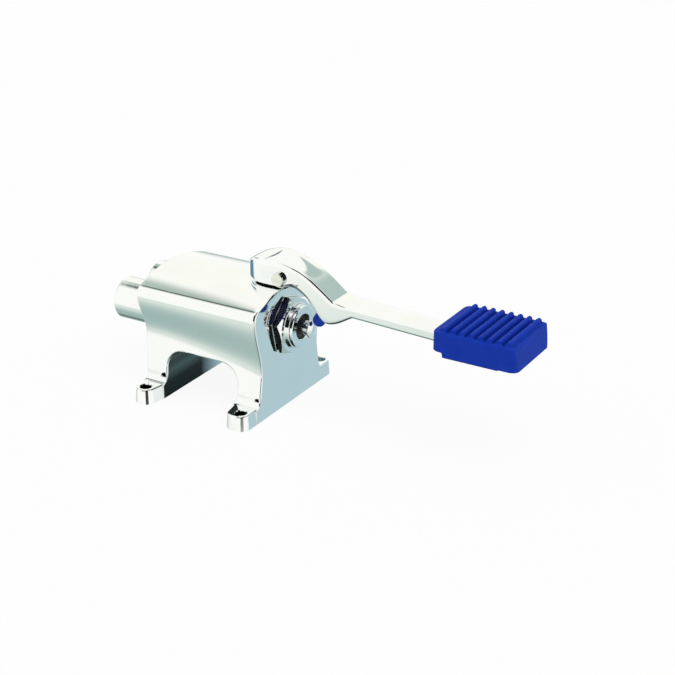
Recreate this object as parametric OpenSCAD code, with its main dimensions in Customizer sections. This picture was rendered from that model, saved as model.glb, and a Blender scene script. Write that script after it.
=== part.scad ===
// Foot pedal tap valve: a push valve that stands on the floor and opens when its lever is trodden down.
// Origin at the centre of the four fixing holes, on the floor. +X points to the pedal, +Z is up. Millimetres.

/* [Fixing base] */
// Distance between the fixing holes, front to back
hole_pitch_x = 70; // [64:1:80]
// Distance between the fixing holes, side to side
hole_pitch_y = 90; // [84:1:110]
// Diameter of the fixing holes
fixing_hole_d = 7; // [5:0.5:9]
// Radius of the round end of each lug
lug_r = 6.5; // [5.5:0.5:8]
// Thickness of the lugs
lug_h = 9.5; // [6:0.5:13]

/* [Body casting] */
// Height of the crown of the domed top
crown_z = 77.5; // [75:0.5:86]
// Radius of the dome across the body
dome_r = 108; // [90:2:160]
// Width across the shoulders
shoulder_w = 77; // [74:0.5:86]
// Radius that rounds each shoulder
shoulder_r = 7; // [5:0.5:10]
// Width across the waist
waist_w = 63.5; // [58:0.5:68]
// Width across the legs, just above the lugs
foot_w = 67.5; // [64:0.5:72]
// Height where the flanks begin to swell out
waist_z = 30; // [24:1:36]
// Fillet between the legs and the lugs
foot_r = 4; // [2:0.5:6]
// Rounding of the front edge
front_edge_r = 1.5; // [1:0.25:3]
// Rounding of the rear edge
rear_edge_r = 1.25; // [0.5:0.25:3]
// How much lower the crown is at the rear edge
rear_fall = 0.5; // [0:0.25:3]
// Radius of the dome across the rear edge
rear_dome_r = 94; // [80:2:130]
// How much narrower the shoulders are at the rear edge
rear_taper = 2.5; // [0:0.5:6]
// How much narrower the waist is at the rear edge
rear_waist_taper = 0.5; // [0:0.25:3]
// How much higher the flanks begin to swell at the rear edge
rear_waist_rise = 10; // [0:1:14]
// How far the rear face leans out at the crown
rear_lean = 4.3; // [0:0.1:6]
// Thickness of the front leg
front_leg = 17; // [14:0.5:20]
// Thickness of the rear leg
rear_leg = 14.5; // [13:0.5:20]
// Height of the arched tunnel
arch_h = 31.5; // [26:0.5:34]
// Radius of the tunnel's upper corners
arch_r = 12; // [8:1:16]

/* [Ports] */
// Distance between the two port axes
port_pitch = 34; // [31:1:38]
// Outside diameter of the port bosses
port_d = 26; // [25:0.5:30]
// How far the port bosses stand out behind the body
port_reach = 27.5; // [24:0.5:34]
// Bore of the port threads
port_bore_d = 18.6; // [15:0.2:19]
// Length of the port threads
port_depth = 14; // [11:0.5:18]
// Diameter of the water passages
passage_d = 11; // [8:0.5:12]

/* [Valve bore] */
// Height of the valve axis above the floor
axis_z = 52; // [50:0.5:55]
// Depth of the bore that takes the headwork
bonnet_depth = 26.5; // [25:0.5:30]
// Length of the outlet chamber
outlet_l = 15; // [13:0.5:18]
// Diameter of the outlet chamber
outlet_d = 22; // [21:0.25:23]
// Diameter of the inlet chamber
inlet_d = 18; // [17:0.25:19]

/* [Headwork] */
// Outside diameter of the headwork's sleeve
bonnet_d = 24; // [23.5:0.25:26]
// Bore of the sleeve, round the spring
spring_room_d = 18.4; // [17.6:0.2:19]
// Thickness of the wall that guides the stem
guide_t = 3.5; // [2.5:0.25:5]
// Hexagon flange, across its flats
hex_af = 34; // [31:0.5:37]
// Thickness of the hexagon flange
hex_t = 3.7; // [3:0.1:5]
// Thickness of the sealing ring under the flange
gasket_t = 0.8; // [0.4:0.1:1.5]
// Diameter of the collar in front of the hexagon
collar_d = 28; // [26.5:0.5:30]
// Length of that collar
collar_l = 3; // [2:0.25:4]
// Diameter of the gland nut's head
gland_d = 26; // [22:0.5:28]
// Length of the gland nut's head
gland_l = 1.8; // [1.4:0.1:2.5]
// Diameter of the recess in the gland nut
recess_d = 15.6; // [13:0.2:17]
// Depth of the recess in the gland nut
recess_depth = 3.4; // [3:0.1:4.5]

/* [Spindle] */
// Diameter of the rod in front of the spring collar
rod_d = 9; // [8.5:0.25:10]
// Diameter of the stem through the spring and the seat
stem_d = 8; // [6:0.25:8]
// Distance from the body's front face to the tip of the rod
tip_reach = 17; // [16:0.25:20]
// Diameter of the button on the tip
cap_d = 11.2; // [10:0.2:12.5]
// Length of the button
cap_l = 2.2; // [2:0.1:2.8]
// Travel of the spindle, from closed to open
travel = 6.9; // [6:0.1:7.2]
// Thickness of the spring collar
spring_collar_t = 3.4; // [2.5:0.1:4.5]

/* [Return spring] */
// Diameter of the spring wire
wire_d = 1.6; // [1.2:0.1:1.8]
// Diameter of the coil, between the wire's centres
coil_d = 13.4; // [12:0.2:14.4]
// Number of turns
turns = 6; // [4:0.5:7]

/* [Seat and disc] */
// Bore of the seat
seat_bore_d = 13; // [11:0.25:14]
// Length of the seat's tube
seat_l = 7; // [5:0.25:9]
// Thickness of the seat's flange
seat_flange_t = 2; // [1.5:0.1:3]
// Thickness of the sealing ring under the seat
seat_gasket_t = 0.6; // [0.4:0.1:1]
// Thickness of the rubber washer that closes the seat
washer_t = 3; // [2:0.1:4]
// Thickness of the washer's holder
disc_t = 2.9; // [2:0.1:4]

/* [Lever] */
// How far the pin lies behind the body's front face
pin_setback = 1; // [-1:0.25:2]
// Height of the pin above the crown of the body
pin_rise = 6.5; // [6:0.25:8]
// Diameter of the hinge pin
pin_d = 8.4; // [7:0.2:9.2]
// Wall of the bush in the tongue
bush_t = 1.2; // [0.8:0.1:1.5]
// Thickness of the tongue between the lever's cheeks
tongue_t = 9; // [7:0.25:11]
// Width of the lever's head
head_w = 20.6; // [19:0.2:24]
// Width of the lever at its elbow
elbow_w = 18.6; // [16:0.2:21]
// Width of the arm where it enters the pad
arm_w = 16.6; // [14:0.2:18]
// Thickness of the arm
arm_t = 7.6; // [6.5:0.1:9]
// How far the head reaches behind the pin
head_rear = 26; // [23:0.5:28]
// Height of the head's crown above the pin
head_rise = 11; // [10.4:0.2:13]
// How far the hood swells above the head's top edges
hood_rise = 6; // [3:0.25:7]
// Distance from the pin forward to the crease where the arm begins
crease_out = 36; // [34:0.5:40]
// Depth of the crease below the pin
crease_drop = 7.5; // [5:0.1:9]
// Depth of the chin under the elbow below the pin
chin_drop = 22.8; // [20:0.2:24]
// Diameter of the bumper that pushes the spindle
bumper_d = 8; // [7:0.2:9]

/* [Pedal] */
// Distance from the pin forward to the rubber pad
pad_out = 107; // [95:0.5:130]
// Length of the rubber pad
pad_l = 52.5; // [46:0.5:62]
// Width of the rubber pad
pad_w = 45.4; // [38:0.2:56]
// Height of the pad's border, without its ribs
pad_h = 15; // [13:0.25:18]
// Corner radius of the pad, seen from above
pad_corner_r = 5; // [3:0.25:8]
// Number of ribs on the pad
rib_count = 8; // [5:1:10]
// Width of each rib
rib_w = 3; // [2:0.1:3.6]
// Height of the ribs above the floor of the grooves
rib_h = 3; // [2:0.1:4]
// Thickness of the lever's plate inside the pad
plate_t = 5; // [4:0.25:6]
// Thickness of the rubber under the plate
pad_floor = 4.1; // [3.8:0.1:5]
// Thickness of the rubber round the plate's edge
pad_wall = 3.2; // [2.5:0.1:5]

/* [Hidden] */
$fn = 64;

// Clearances: seated pieces, sliding pieces, pieces that rest on each other, pieces that move apart
seat_gap = 0.05;
run_gap = 0.05;
rest_gap = 0.1;
free_gap = 0.3;
// How far a cutting shape runs past the face it cuts
cut = 1;

chrome = [0.80, 0.84, 0.84];
brass = [0.78, 0.64, 0.36];
steel = [0.62, 0.64, 0.66];
black_rubber = [0.08, 0.08, 0.09];
fibre = [0.45, 0.16, 0.12];
blue_rubber = [0.11, 0.20, 0.59];

// Places along the valve axis
body_l = hole_pitch_x + 2 * lug_r;
front_x = body_l / 2;
rear_x = -body_l / 2;
bonnet_x = front_x - bonnet_depth;
seat_x = bonnet_x - outlet_l;
lip_x = seat_x - seat_l;
guide_x = bonnet_x + guide_t;
hex_x = front_x + gasket_t;
collar_x = hex_x + hex_t;
gland_x = collar_x + collar_l;
gland_face_x = gland_x + gland_l;
recess_x = gland_face_x - recess_depth;
tip_x = front_x + tip_reach;
cap_x = tip_x - cap_l;
gland_tail_x = front_x - free_gap;
shoulder_x = gland_tail_x - rest_gap;
washer_x = lip_x - rest_gap;
disc_x = washer_x - washer_t;
nut_x = disc_x - disc_t;
nut_t = 3.2;
thread_tail = 0.8;
spindle_end_x = nut_x - nut_t - thread_tail;
inlet_room = 4.1;
inlet_end_x = spindle_end_x - travel - inlet_room;

// Section of the body at a share t of the way from the rear edge to the front edge: from the floor up
// the leg, round the fillet and the eased flank, over the shoulder and along the dome to the crown
foot_y = foot_w / 2 + foot_r;
// The fillet starts just under the lug's top, so that the two surfaces cross
leg_z = lug_h + foot_r - seat_gap;
leg_steps = 3;
flank_steps = 9;

function arc(c, r, a0, a1, n) = [for (i = [0:n]) let (a = a0 + (a1 - a0) * i / n) c + r * [cos(a), sin(a)]];
function ease(t) = t * t * (3 - 2 * t);
function tail(list) = [for (i = [1:len(list) - 1]) list[i]];
function bezier(p, n) = [for (i = [1:n]) let (t = i / n, s = 1 - t)
    s * s * s * p[0] + 3 * s * s * t * p[1] + 3 * s * t * t * p[2] + t * t * t * p[3]];
function blend(rear, front, t) = rear + (front - rear) * t * t;
function eased_line(a, b, n) = [for (i = [1:n]) let (t = i / n)
    [a.x + (b.x - a.x) * ease(t), a.y + (b.y - a.y) * t]];

function half_section(t) = let (
        crown = blend(crown_z - rear_fall, crown_z, t),
        r = blend(rear_dome_r, dome_r, t),
        shoulder = [blend(shoulder_w - rear_taper, shoulder_w, t) / 2 - shoulder_r, 0],
        z = crown - r + sqrt(pow(r - shoulder_r, 2) - pow(shoulder.x, 2)),
        angle = 90 - asin(shoulder.x / (r - shoulder_r)),
        waist = [blend(waist_w - rear_waist_taper, waist_w, t) / 2,
            blend(waist_z + rear_waist_rise, waist_z, t)])
    concat([[foot_y, 0]],
        arc([foot_y, leg_z], foot_r, 270, 180, 4),
        eased_line([foot_w / 2, leg_z], waist, leg_steps),
        eased_line(waist, [shoulder.x + shoulder_r, z], flank_steps),
        tail(arc([shoulder.x, z], shoulder_r, 0, angle, 5)),
        tail(arc([0, crown - r], r, angle, 90, 6)));
function section(t) = let (half = half_section(t))
    concat(half, [for (i = [len(half) - 2:-1:0]) [-half[i].x, half[i].y]]);

// Outward direction at a point of a section; the two floor corners move sideways only
function outward(points, i) = let (n = len(points))
    i == 0 ? [1, 0]
    : i == n - 1 ? [-1, 0]
    : let (t = points[i + 1] - points[i - 1]) [t.y, -t.x] / norm(t);

// Body shell: the section carried from rear to front, drawn in along a quarter round at each end.
// The rounding dies out at the lugs, whose ends lie flush with the body's end faces.
edge_steps = 4;
middle_steps = 5;
function edge_share(z) = ease(min(max((z - lug_h) / (2 * foot_r), 0), 1));
function edge_ring(i, r) = let (a = 90 * i / edge_steps) r * [1 - sin(a), 1 - cos(a)];
// Each ring: place along X, share of the way to the front, how far it is drawn in
shell_rings = concat(
    [for (i = [edge_steps:-1:0]) let (e = edge_ring(i, rear_edge_r)) [rear_x + e.x, 0, e.y]],
    [for (i = [1:middle_steps - 1]) let (t = i / middle_steps) [rear_x + t * body_l, t, 0]],
    [for (i = [0:edge_steps]) let (e = edge_ring(i, front_edge_r)) [front_x - e.x, 1, e.y]]);
function shell_ring(ring) = let (outline = section(ring.y)) [for (i = [0:len(outline) - 1])
    let (p = outline[i] - ring.z * edge_share(outline[i].y) * outward(outline, i))
        [ring.x - rear_lean * (1 - ring.y) * p.y / crown_z, p.x, p.y]];

// Solid through a row of rings that follow each other along X
module loft(rings) {
    n = len(rings[0]);
    last = len(rings) - 1;
    points = [for (ring = rings) each ring];
    sides = [for (k = [0:last - 1]) for (i = [0:n - 1])
        let (a = k * n + i, b = k * n + (i + 1) % n, c = b + n, d = a + n) each [[a, d, c], [a, c, b]]];
    rear = [[for (i = [0:n - 1]) i]];
    front = [[for (i = [n - 1:-1:0]) last * n + i]];
    polyhedron(points, concat(rear, sides, front), convexity = 6);
}

// Turned shape on the valve axis, drawn as radius against distance along X
module turned(profile, y = 0) {
    translate([0, y, axis_z]) rotate([0, 90, 0]) rotate_extrude() polygon(profile);
}

// Flat ring on the valve axis
module ring(x0, x1, r0, r1) {
    turned([[r0, x0], [r1, x0], [r1, x1], [r0, x1]]);
}

// Round rod along X
module rod_x(x0, x1, y, d) {
    translate([x0, y, axis_z]) rotate([0, 90, 0]) cylinder(h = x1 - x0, d = d);
}

// Point where a line from p touches the circle round c, on the side given by +1 or -1
function touch(p, c, r, side) = let (d = norm(c - p), a = atan2(c.y - p.y, c.x - p.x) + side * asin(r / d))
    p + sqrt(d * d - r * r) * [cos(a), sin(a)];

// Lug at one corner: a round end, drawn in a little from the leg's full thickness, its outer side
// a hair behind the body's end face
lug_draw = 1.5;

module lug(sx, sy) {
    leg = sx > 0 ? front_leg : rear_leg;
    hole = [hole_pitch_x / 2, hole_pitch_y / 2];
    r = lug_r - seat_gap;
    inner_end = [min(hole.x, front_x - leg + lug_draw + r), hole.y];
    root = [front_x - leg - cut, waist_w / 2 - 2 * front_edge_r];
    mirror([sx < 0 ? 1 : 0, 0, 0]) mirror([0, sy < 0 ? 1 : 0, 0]) linear_extrude(lug_h) {
        translate(hole) circle(r);
        translate(inner_end) circle(r);
        polygon([root, [hole.x + r, root.y], hole + [r, 0], hole + [0, r], inner_end + [0, r], inner_end,
            touch(root, inner_end, r, 1)]);
    }
}

// Tongue on the top front edge that carries the lever's pin
pin_x = front_x - pin_setback;
pin_z = crown_z + pin_rise;
tongue_wall = 1.9;
tongue_r = pin_d / 2 + bush_t + tongue_wall;
tongue_base_l = 14;
tongue_sunk = 3;

module tongue_side(r) {
    pin = [pin_x, pin_z];
    rear_foot = [pin_x - tongue_base_l, crown_z - tongue_sunk];
    front_foot = [front_x - front_edge_r, crown_z - 2 * front_edge_r];
    translate(pin) circle(r);
    polygon([rear_foot, front_foot, touch(front_foot, pin, r, -1), pin, touch(rear_foot, pin, r, 1)]);
}

module arch_side() {
    x0 = rear_x + rear_leg;
    x1 = front_x - front_leg;
    translate([x0, -cut]) square([x1 - x0, arch_h - arch_r + cut]);
    translate([x0 + arch_r, -cut]) square([x1 - x0 - 2 * arch_r, arch_h + cut]);
    for (x = [x0 + arch_r, x1 - arch_r]) translate([x, arch_h - arch_r]) circle(arch_r);
}

// Turn a drawing of X and Z upright and give it a thickness across Y
module upright(t) {
    rotate([90, 0, 0]) linear_extrude(t, center = true) children();
}

port_end_x = rear_x - port_reach;
port_chamfer = 1;
passage_inset = 2;
inlet_cross_x = inlet_end_x + passage_d / 2 + passage_inset;
outlet_cross_x = seat_x + outlet_l / 2;

module port_boss(y) {
    r = port_d / 2;
    turned([[0, rear_x + rear_edge_r], [r, rear_x + rear_edge_r], [r, port_end_x + port_chamfer],
        [r - port_chamfer, port_end_x], [0, port_end_x]], y);
}

module port_cut(y, cross_x) {
    r = port_bore_d / 2;
    turned([[0, port_end_x - cut], [r + port_chamfer + cut, port_end_x - cut], [r, port_end_x + port_chamfer],
        [r, port_end_x + port_depth], [0, port_end_x + port_depth]], y);
    rod_x(port_end_x, cross_x + passage_d / 2, y, passage_d);
    translate([cross_x, y, axis_z]) rotate([y < 0 ? -90 : 90, 0, 0]) cylinder(h = abs(y), d = passage_d);
}

module valve_bore() {
    inlet_r = inlet_d / 2;
    outlet_r = outlet_d / 2;
    bonnet_r = bonnet_d / 2 + seat_gap;
    turned([[0, inlet_end_x], [inlet_r, inlet_end_x], [inlet_r, seat_x], [outlet_r, seat_x],
        [outlet_r, bonnet_x], [bonnet_r, bonnet_x], [bonnet_r, front_x + cut], [0, front_x + cut]]);
}

module valve_body() {
    color(chrome) difference() {
        union() {
            loft([for (ring = shell_rings) shell_ring(ring)]);
            for (sx = [-1, 1], sy = [-1, 1]) lug(sx, sy);
            for (y = [-port_pitch / 2, port_pitch / 2]) port_boss(y);
            upright(tongue_t) tongue_side(tongue_r);
        }
        upright(hole_pitch_y + 4 * lug_r) arch_side();
        for (x = [-hole_pitch_x / 2, hole_pitch_x / 2], y = [-hole_pitch_y / 2, hole_pitch_y / 2])
            translate([x, y, -cut]) cylinder(h = lug_h + 2 * cut, d = fixing_hole_d);
        valve_bore();
        port_cut(-port_pitch / 2, inlet_cross_x);
        port_cut(port_pitch / 2, outlet_cross_x);
        translate([pin_x, 0, pin_z]) rotate([90, 0, 0])
            cylinder(h = tongue_t + 2 * cut, d = pin_d + 2 * run_gap + 2 * bush_t, center = true);
    }
}

seat_lip = 1.1;

module valve_seat() {
    bore_r = seat_bore_d / 2;
    tube_r = inlet_d / 2 - seat_gap;
    flange_r = outlet_d / 2 - seat_gap;
    flange_x = seat_x + seat_gasket_t;
    color(brass) turned([[bore_r, lip_x], [bore_r + seat_lip, lip_x], [tube_r, lip_x + seat_lip],
        [tube_r, flange_x], [flange_r, flange_x], [flange_r, flange_x + seat_flange_t],
        [bore_r, flange_x + seat_flange_t]]);
}

module seat_gasket() {
    color(fibre) ring(seat_x, seat_x + seat_gasket_t, inlet_d / 2, outlet_d / 2 - seat_gap);
}

// Grooves and rings that seal the headwork's sleeve in the body
o_ring_t = 1.7;
o_ring_groove = o_ring_t + 2 * free_gap;
o_ring_first = 3;
o_ring_pitch = 4.5;
o_ring_xs = [for (i = [0:1]) guide_x + o_ring_first + i * o_ring_pitch];
// Where the hexagon stops when the headwork is tight
hex_turn = 14;
collar_chamfer = 0.5;

module headwork() {
    sleeve_r = bonnet_d / 2;
    room_r = spring_room_d / 2;
    stem_r = stem_d / 2 + run_gap;
    collar_r = collar_d / 2;
    hex_r = hex_af / 2 / cos(30);
    chamfer = hex_t / 4;
    color(chrome) difference() {
        union() {
            turned([[stem_r, bonnet_x], [sleeve_r, bonnet_x], [sleeve_r, hex_x], [collar_r, hex_x],
                [collar_r, gland_x - collar_chamfer], [collar_r - collar_chamfer, gland_x], [room_r, gland_x],
                [room_r, guide_x], [stem_r, guide_x]]);
            intersection() {
                translate([hex_x, 0, axis_z]) rotate([0, 90, 0]) rotate(hex_turn)
                    cylinder(h = hex_t, r = hex_r, $fn = 6);
                turned([[sleeve_r - 1, hex_x], [hex_r, hex_x], [hex_r, collar_x - chamfer],
                    [hex_r - 2 * chamfer, collar_x], [sleeve_r - 1, collar_x]]);
            }
        }
        for (x = o_ring_xs) ring(x, x + o_ring_groove, sleeve_r - o_ring_t, sleeve_r + cut);
    }
}

module flange_gasket() {
    color(black_rubber) ring(front_x, hex_x, bonnet_d / 2 + seat_gap, hex_af / 2 - collar_chamfer);
}

module bonnet_o_rings() {
    color(black_rubber) for (x = o_ring_xs) translate([x + o_ring_groove / 2, 0, axis_z]) rotate([0, 90, 0])
        rotate_extrude() translate([(bonnet_d - o_ring_t + seat_gap) / 2, 0]) circle(d = o_ring_t - seat_gap);
}

// Pocket in the gland nut's tail that holds the rod's two seals
seal_t = 2;
seal_w = 2.5;
seal_d = rod_d + 2 * seal_w;
gland_web = 1;
seal_pocket_x = recess_x - gland_web;

module gland_nut() {
    rod_r = rod_d / 2 + run_gap;
    neck_r = spring_room_d / 2 - seat_gap;
    head_r = gland_d / 2;
    chamfer = 0.6;
    color(chrome) turned([[seal_d / 2, gland_tail_x], [neck_r, gland_tail_x], [neck_r, gland_x + seat_gap],
        [head_r, gland_x + seat_gap], [head_r, gland_face_x - chamfer], [head_r - chamfer, gland_face_x],
        [recess_d / 2, gland_face_x], [recess_d / 2, recess_x], [rod_r, recess_x], [rod_r, seal_pocket_x],
        [seal_d / 2, seal_pocket_x]]);
}

module spindle_seals() {
    color(black_rubber) for (i = [0:1]) {
        x = seal_pocket_x - (i + 1) * seal_t - i * rest_gap;
        ring(x, x + seal_t, rod_d / 2 + run_gap, seal_d / 2 - seat_gap);
    }
}

wiper_t = 1.4;
wiper_lip = 0.7;

module wiper_ring() {
    inner = rod_d / 2 + run_gap;
    outer = recess_d / 2 - seat_gap;
    face_x = recess_x + wiper_t;
    color(black_rubber) turned([[inner, recess_x], [outer, recess_x], [outer, face_x - wiper_lip / 2],
        [inner + wiper_lip, face_x], [inner, face_x]]);
}

module pivot_bush() {
    color(brass) translate([pin_x, 0, pin_z]) rotate([90, 0, 0]) difference() {
        cylinder(h = tongue_t, d = pin_d + 2 * run_gap + 2 * bush_t, center = true);
        cylinder(h = tongue_t + 2 * cut, d = pin_d + 2 * run_gap, center = true);
    }
}

// Return spring: one unbroken round wire wound between the guide wall and the spring collar
spring_x0 = guide_x + wire_d / 2 + seat_gap;
spring_x1 = shoulder_x - spring_collar_t - wire_d / 2 - seat_gap;
rings_per_turn = 12;
wire_sides = 6;
spring_rings = round(turns * rings_per_turn);
spring_rise = (spring_x1 - spring_x0) / spring_rings;

function coil_point(i) = let (a = 360 * i / rings_per_turn)
    [spring_x0 + i * spring_rise, coil_d / 2 * cos(a), axis_z + coil_d / 2 * sin(a)];
spring_gap = min([for (i = [0:spring_rings]) for (j = [i + rings_per_turn / 2:1:spring_rings])
    norm(coil_point(i) - coil_point(j))]) - wire_d;
echo(spring_gap = spring_gap);

module return_spring() {
    points = [for (i = [0:spring_rings]) let (a = 360 * i / rings_per_turn, out = [0, cos(a), sin(a)])
        for (k = [0:wire_sides - 1]) let (b = 360 * k / wire_sides)
            coil_point(i) + wire_d / 2 * (cos(b) * out + sin(b) * [1, 0, 0])];
    sides = [for (i = [0:spring_rings - 1]) for (k = [0:wire_sides - 1])
        let (a = i * wire_sides + k, b = i * wire_sides + (k + 1) % wire_sides)
            each [[a, b + wire_sides, b], [a, a + wire_sides, b + wire_sides]]];
    first = [[for (k = [0:wire_sides - 1]) k]];
    last = [[for (k = [wire_sides - 1:-1:0]) spring_rings * wire_sides + k]];
    color(steel) polyhedron(points, concat(first, sides, last), convexity = 10);
}

// Push rod: threaded end, stem, thicker rod in front of the spring collar, groove and cap spigot
thread_d = 5;
groove_l = 0.7;
cap_chamfer = 0.8;
spigot_d = 6;
spigot_l = 1.3;

module spindle() {
    thread_r = thread_d / 2;
    stem_r = stem_d / 2;
    rod_r = rod_d / 2;
    groove_r = rod_r - groove_l;
    color(steel) turned([[0, spindle_end_x], [thread_r, spindle_end_x], [thread_r, washer_x],
        [stem_r, washer_x], [stem_r, shoulder_x], [rod_r, shoulder_x], [rod_r, cap_x - groove_l],
        [groove_r, cap_x - groove_l], [groove_r, cap_x], [spigot_d / 2, cap_x],
        [spigot_d / 2, cap_x + spigot_l], [0, cap_x + spigot_l]]);
}

// The rod's shoulder takes the push of the spring through this collar, which stops on the gland nut's tail
module spring_collar() {
    color(brass) ring(shoulder_x - spring_collar_t, shoulder_x, stem_d / 2 + seat_gap / 2,
        spring_room_d / 2 - free_gap);
}

disc_r = inlet_d / 2 - 2 * free_gap;
disc_rim = 0.4;

module valve_disc() {
    bore_r = thread_d / 2 + seat_gap;
    rim_r = disc_r - disc_rim;
    color(brass) turned([[bore_r, nut_x], [disc_r, nut_x], [disc_r, disc_x + washer_t / 2],
        [rim_r, disc_x + washer_t / 2], [rim_r, disc_x], [bore_r, disc_x]]);
}

module seat_washer() {
    color(black_rubber) ring(disc_x, washer_x, thread_d / 2 + seat_gap, disc_r - disc_rim - seat_gap);
}

nut_wall = 1.5;

module disc_nut() {
    nut_af = thread_d + 2 * nut_wall;
    color(brass) translate([nut_x - nut_t, 0, axis_z]) rotate([0, 90, 0]) difference() {
        cylinder(h = nut_t, r = nut_af / 2 / cos(30), $fn = 6);
        translate([0, 0, -cut]) cylinder(h = nut_t + 2 * cut, d = thread_d + seat_gap);
    }
}

module spindle_cap() {
    r = cap_d / 2;
    bore_r = spigot_d / 2 + seat_gap / 2;
    bore_end_x = cap_x + spigot_l + seat_gap;
    color(steel) turned([[bore_r, cap_x], [r, cap_x], [r, tip_x - cap_chamfer], [r - cap_chamfer, tip_x],
        [0, tip_x], [0, bore_end_x], [bore_r, bore_end_x]]);
}

// Lever side view, measured from the pin: crown curve, straight arm, chin and the arch over the gland
arm_fall = 2.8;
arm_end = pad_out + pad_wall;
boss_r = pin_rise - rest_gap;
underside = pin_rise - 2 * free_gap;
heel_step = 2;
crown_dip = 5.7;
elbow_step = 12.8;
chin_step = 3.8;
curve_steps = 10;

// Points where the lever's curves meet
crown_rear = [-head_rear, head_rise - crown_dip];
head_shoulder = [8.6, head_rise - 2.1];
crease = [crease_out, -crease_drop];
elbow = crease + [elbow_step, -arm_t];
chin = [crease_out - chin_step, -chin_drop];
arch_foot = [17.5, -8.7];
arch_top = [7.5, -4.2];

// Pulls: how far each control point lies from the end of its curve
crown_pulls = [[9.8, 7.3], [-14.3, 3.1]];
neck_pulls = [[6, -1.3], [-17.4, 13.5]];
elbow_pulls = [[-4.8, -2.4], [6, 0.2]];
chin_pulls = [[-5, -0.2], [6.5, -5]];
arch_pulls = [[-3.5, 2.4], [4, 0]];
boss_front = 50;
boss_rear = 60;

function pulled(a, b, pulls) = bezier([a, a + pulls[0], b + pulls[1], b], curve_steps);

crown_line = concat([crown_rear], pulled(crown_rear, head_shoulder, crown_pulls),
    pulled(head_shoulder, crease, neck_pulls));
lever_points = concat(
    [[-head_rear, heel_step - underside]],
    crown_line,
    [[arm_end, crease.y - arm_fall], [arm_end, crease.y - arm_fall - arm_t], elbow],
    pulled(elbow, chin, elbow_pulls),
    pulled(chin, arch_foot, chin_pulls),
    pulled(arch_foot, arch_top, arch_pulls),
    [boss_r * [cos(boss_front), -sin(boss_front)], [-boss_r * cos(boss_rear), -underside],
        [heel_step - head_rear, -underside]]);

module lever_side() {
    translate([pin_x, pin_z]) {
        polygon(lever_points);
        circle(boss_r);
    }
}

// Hood: the head's top swells between its edges, from nothing at the heel to its full height a little
// in front of the pin, and dies out at the crease
hood_peak = 7.9;
hood_sunk = 2.5;
hood_steps = 8;
hood_half = head_w / 2;

function hood_swell(x) = hood_rise * ease(x < hood_peak
    ? (x + head_rear) / (hood_peak + head_rear)
    : (crease_out - x) / (crease_out - hood_peak));
function hood_ring(p) = let (w = hood_half + cut, low = p.y - hood_sunk, pin = [pin_x, 0, pin_z])
    concat([pin + [p.x, w, low]],
        [for (j = [0:hood_steps]) let (y = w * (1 - 2 * j / hood_steps))
            pin + [p.x, y, p.y - seat_gap + hood_swell(p.x) * (1 - pow(y / hood_half, 2))]],
        [pin + [p.x, -w, low]]);

// Lever seen from above: round-cornered head, tapering to the elbow and along the arm
head_corner_r = 9;

module lever_plan() {
    y = head_w / 2;
    for (s = [-1, 1]) translate([pin_x - head_rear + head_corner_r, s * (y - head_corner_r)])
        circle(head_corner_r);
    translate([pin_x - head_rear, -y + head_corner_r]) square([head_corner_r, head_w - 2 * head_corner_r]);
    translate([pin_x, 0]) polygon([[-head_rear + head_corner_r, y], [head_shoulder.x, y],
        [crease_out, elbow_w / 2], [arm_end, arm_w / 2], [arm_end, -arm_w / 2], [crease_out, -elbow_w / 2],
        [head_shoulder.x, -y], [-head_rear + head_corner_r, -y]]);
}

module rounded_plan(x0, x1, w, r) {
    translate([x0, -w / 2 + r]) square([x1 - x0, w - 2 * r]);
    translate([x0 + r, -w / 2]) square([x1 - x0 - 2 * r, w]);
    for (x = [x0 + r, x1 - r], s = [-1, 1]) translate([x, s * (w / 2 - r)]) circle(r);
}

// Pedal plate and pad
pad_x = pin_x + pad_out;
pad_end_x = pad_x + pad_l;
plate_z = pin_z - crease_drop - arm_fall - plate_t;
pad_z = plate_z - pad_floor;
plate_corner_r = max(pad_corner_r - pad_wall, 1.5);

module pedal_plate(gap) {
    translate([0, 0, plate_z - gap]) linear_extrude(plate_t + 2 * gap)
        rounded_plan(pad_x + pad_wall - gap, pad_end_x - pad_wall + gap, pad_w - 2 * (pad_wall - gap),
            plate_corner_r);
}

// Bumper: its nose stands just clear of the spindle cap, its stem is pressed into the elbow
bumper_r = bumper_d / 2;
bumper_rest = 22;
cap_corner = [tip_x - cap_chamfer / 2, 0, axis_z + (cap_d - cap_chamfer) / 2];
bumper_nose = cap_corner + (bumper_r + free_gap) * [cos(bumper_rest), 0, sin(bumper_rest)];
bumper_lean = 30;
bumper_sunk = 7.2;
bumper_seat = (pin_z - chin_drop - bumper_nose.z + bumper_sunk) / cos(bumper_lean);
bumper_stem_d = 6;
bumper_stem_l = 6;

module on_bumper_axis() {
    translate(bumper_nose) rotate([0, bumper_lean, 0]) children();
}

pin_proud = 2.5;

module pedal_lever() {
    slot_r = tongue_r + 2 * free_gap;
    slot_rear = tongue_base_l + cut;
    color(chrome) difference() {
        union() {
            intersection() {
                union() {
                    upright(head_w + 2 * cut) lever_side();
                    loft([for (p = crown_line) hood_ring(p)]);
                }
                linear_extrude(pin_z + 2 * head_rise) lever_plan();
            }
            pedal_plate(0);
        }
        upright(tongue_t + 2 * free_gap) translate([pin_x, pin_z]) {
            circle(slot_r);
            translate([-slot_rear, -chin_drop]) square([slot_rear + slot_r, chin_drop + slot_r / 2]);
        }
        translate([pin_x, 0, pin_z]) rotate([90, 0, 0])
            cylinder(h = head_w + 2 * cut, d = pin_d, center = true);
        on_bumper_axis() {
            cylinder(h = bumper_seat, d = bumper_d + 2 * seat_gap);
            cylinder(h = bumper_seat + bumper_stem_l + cut, d = bumper_stem_d);
        }
    }
}

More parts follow.
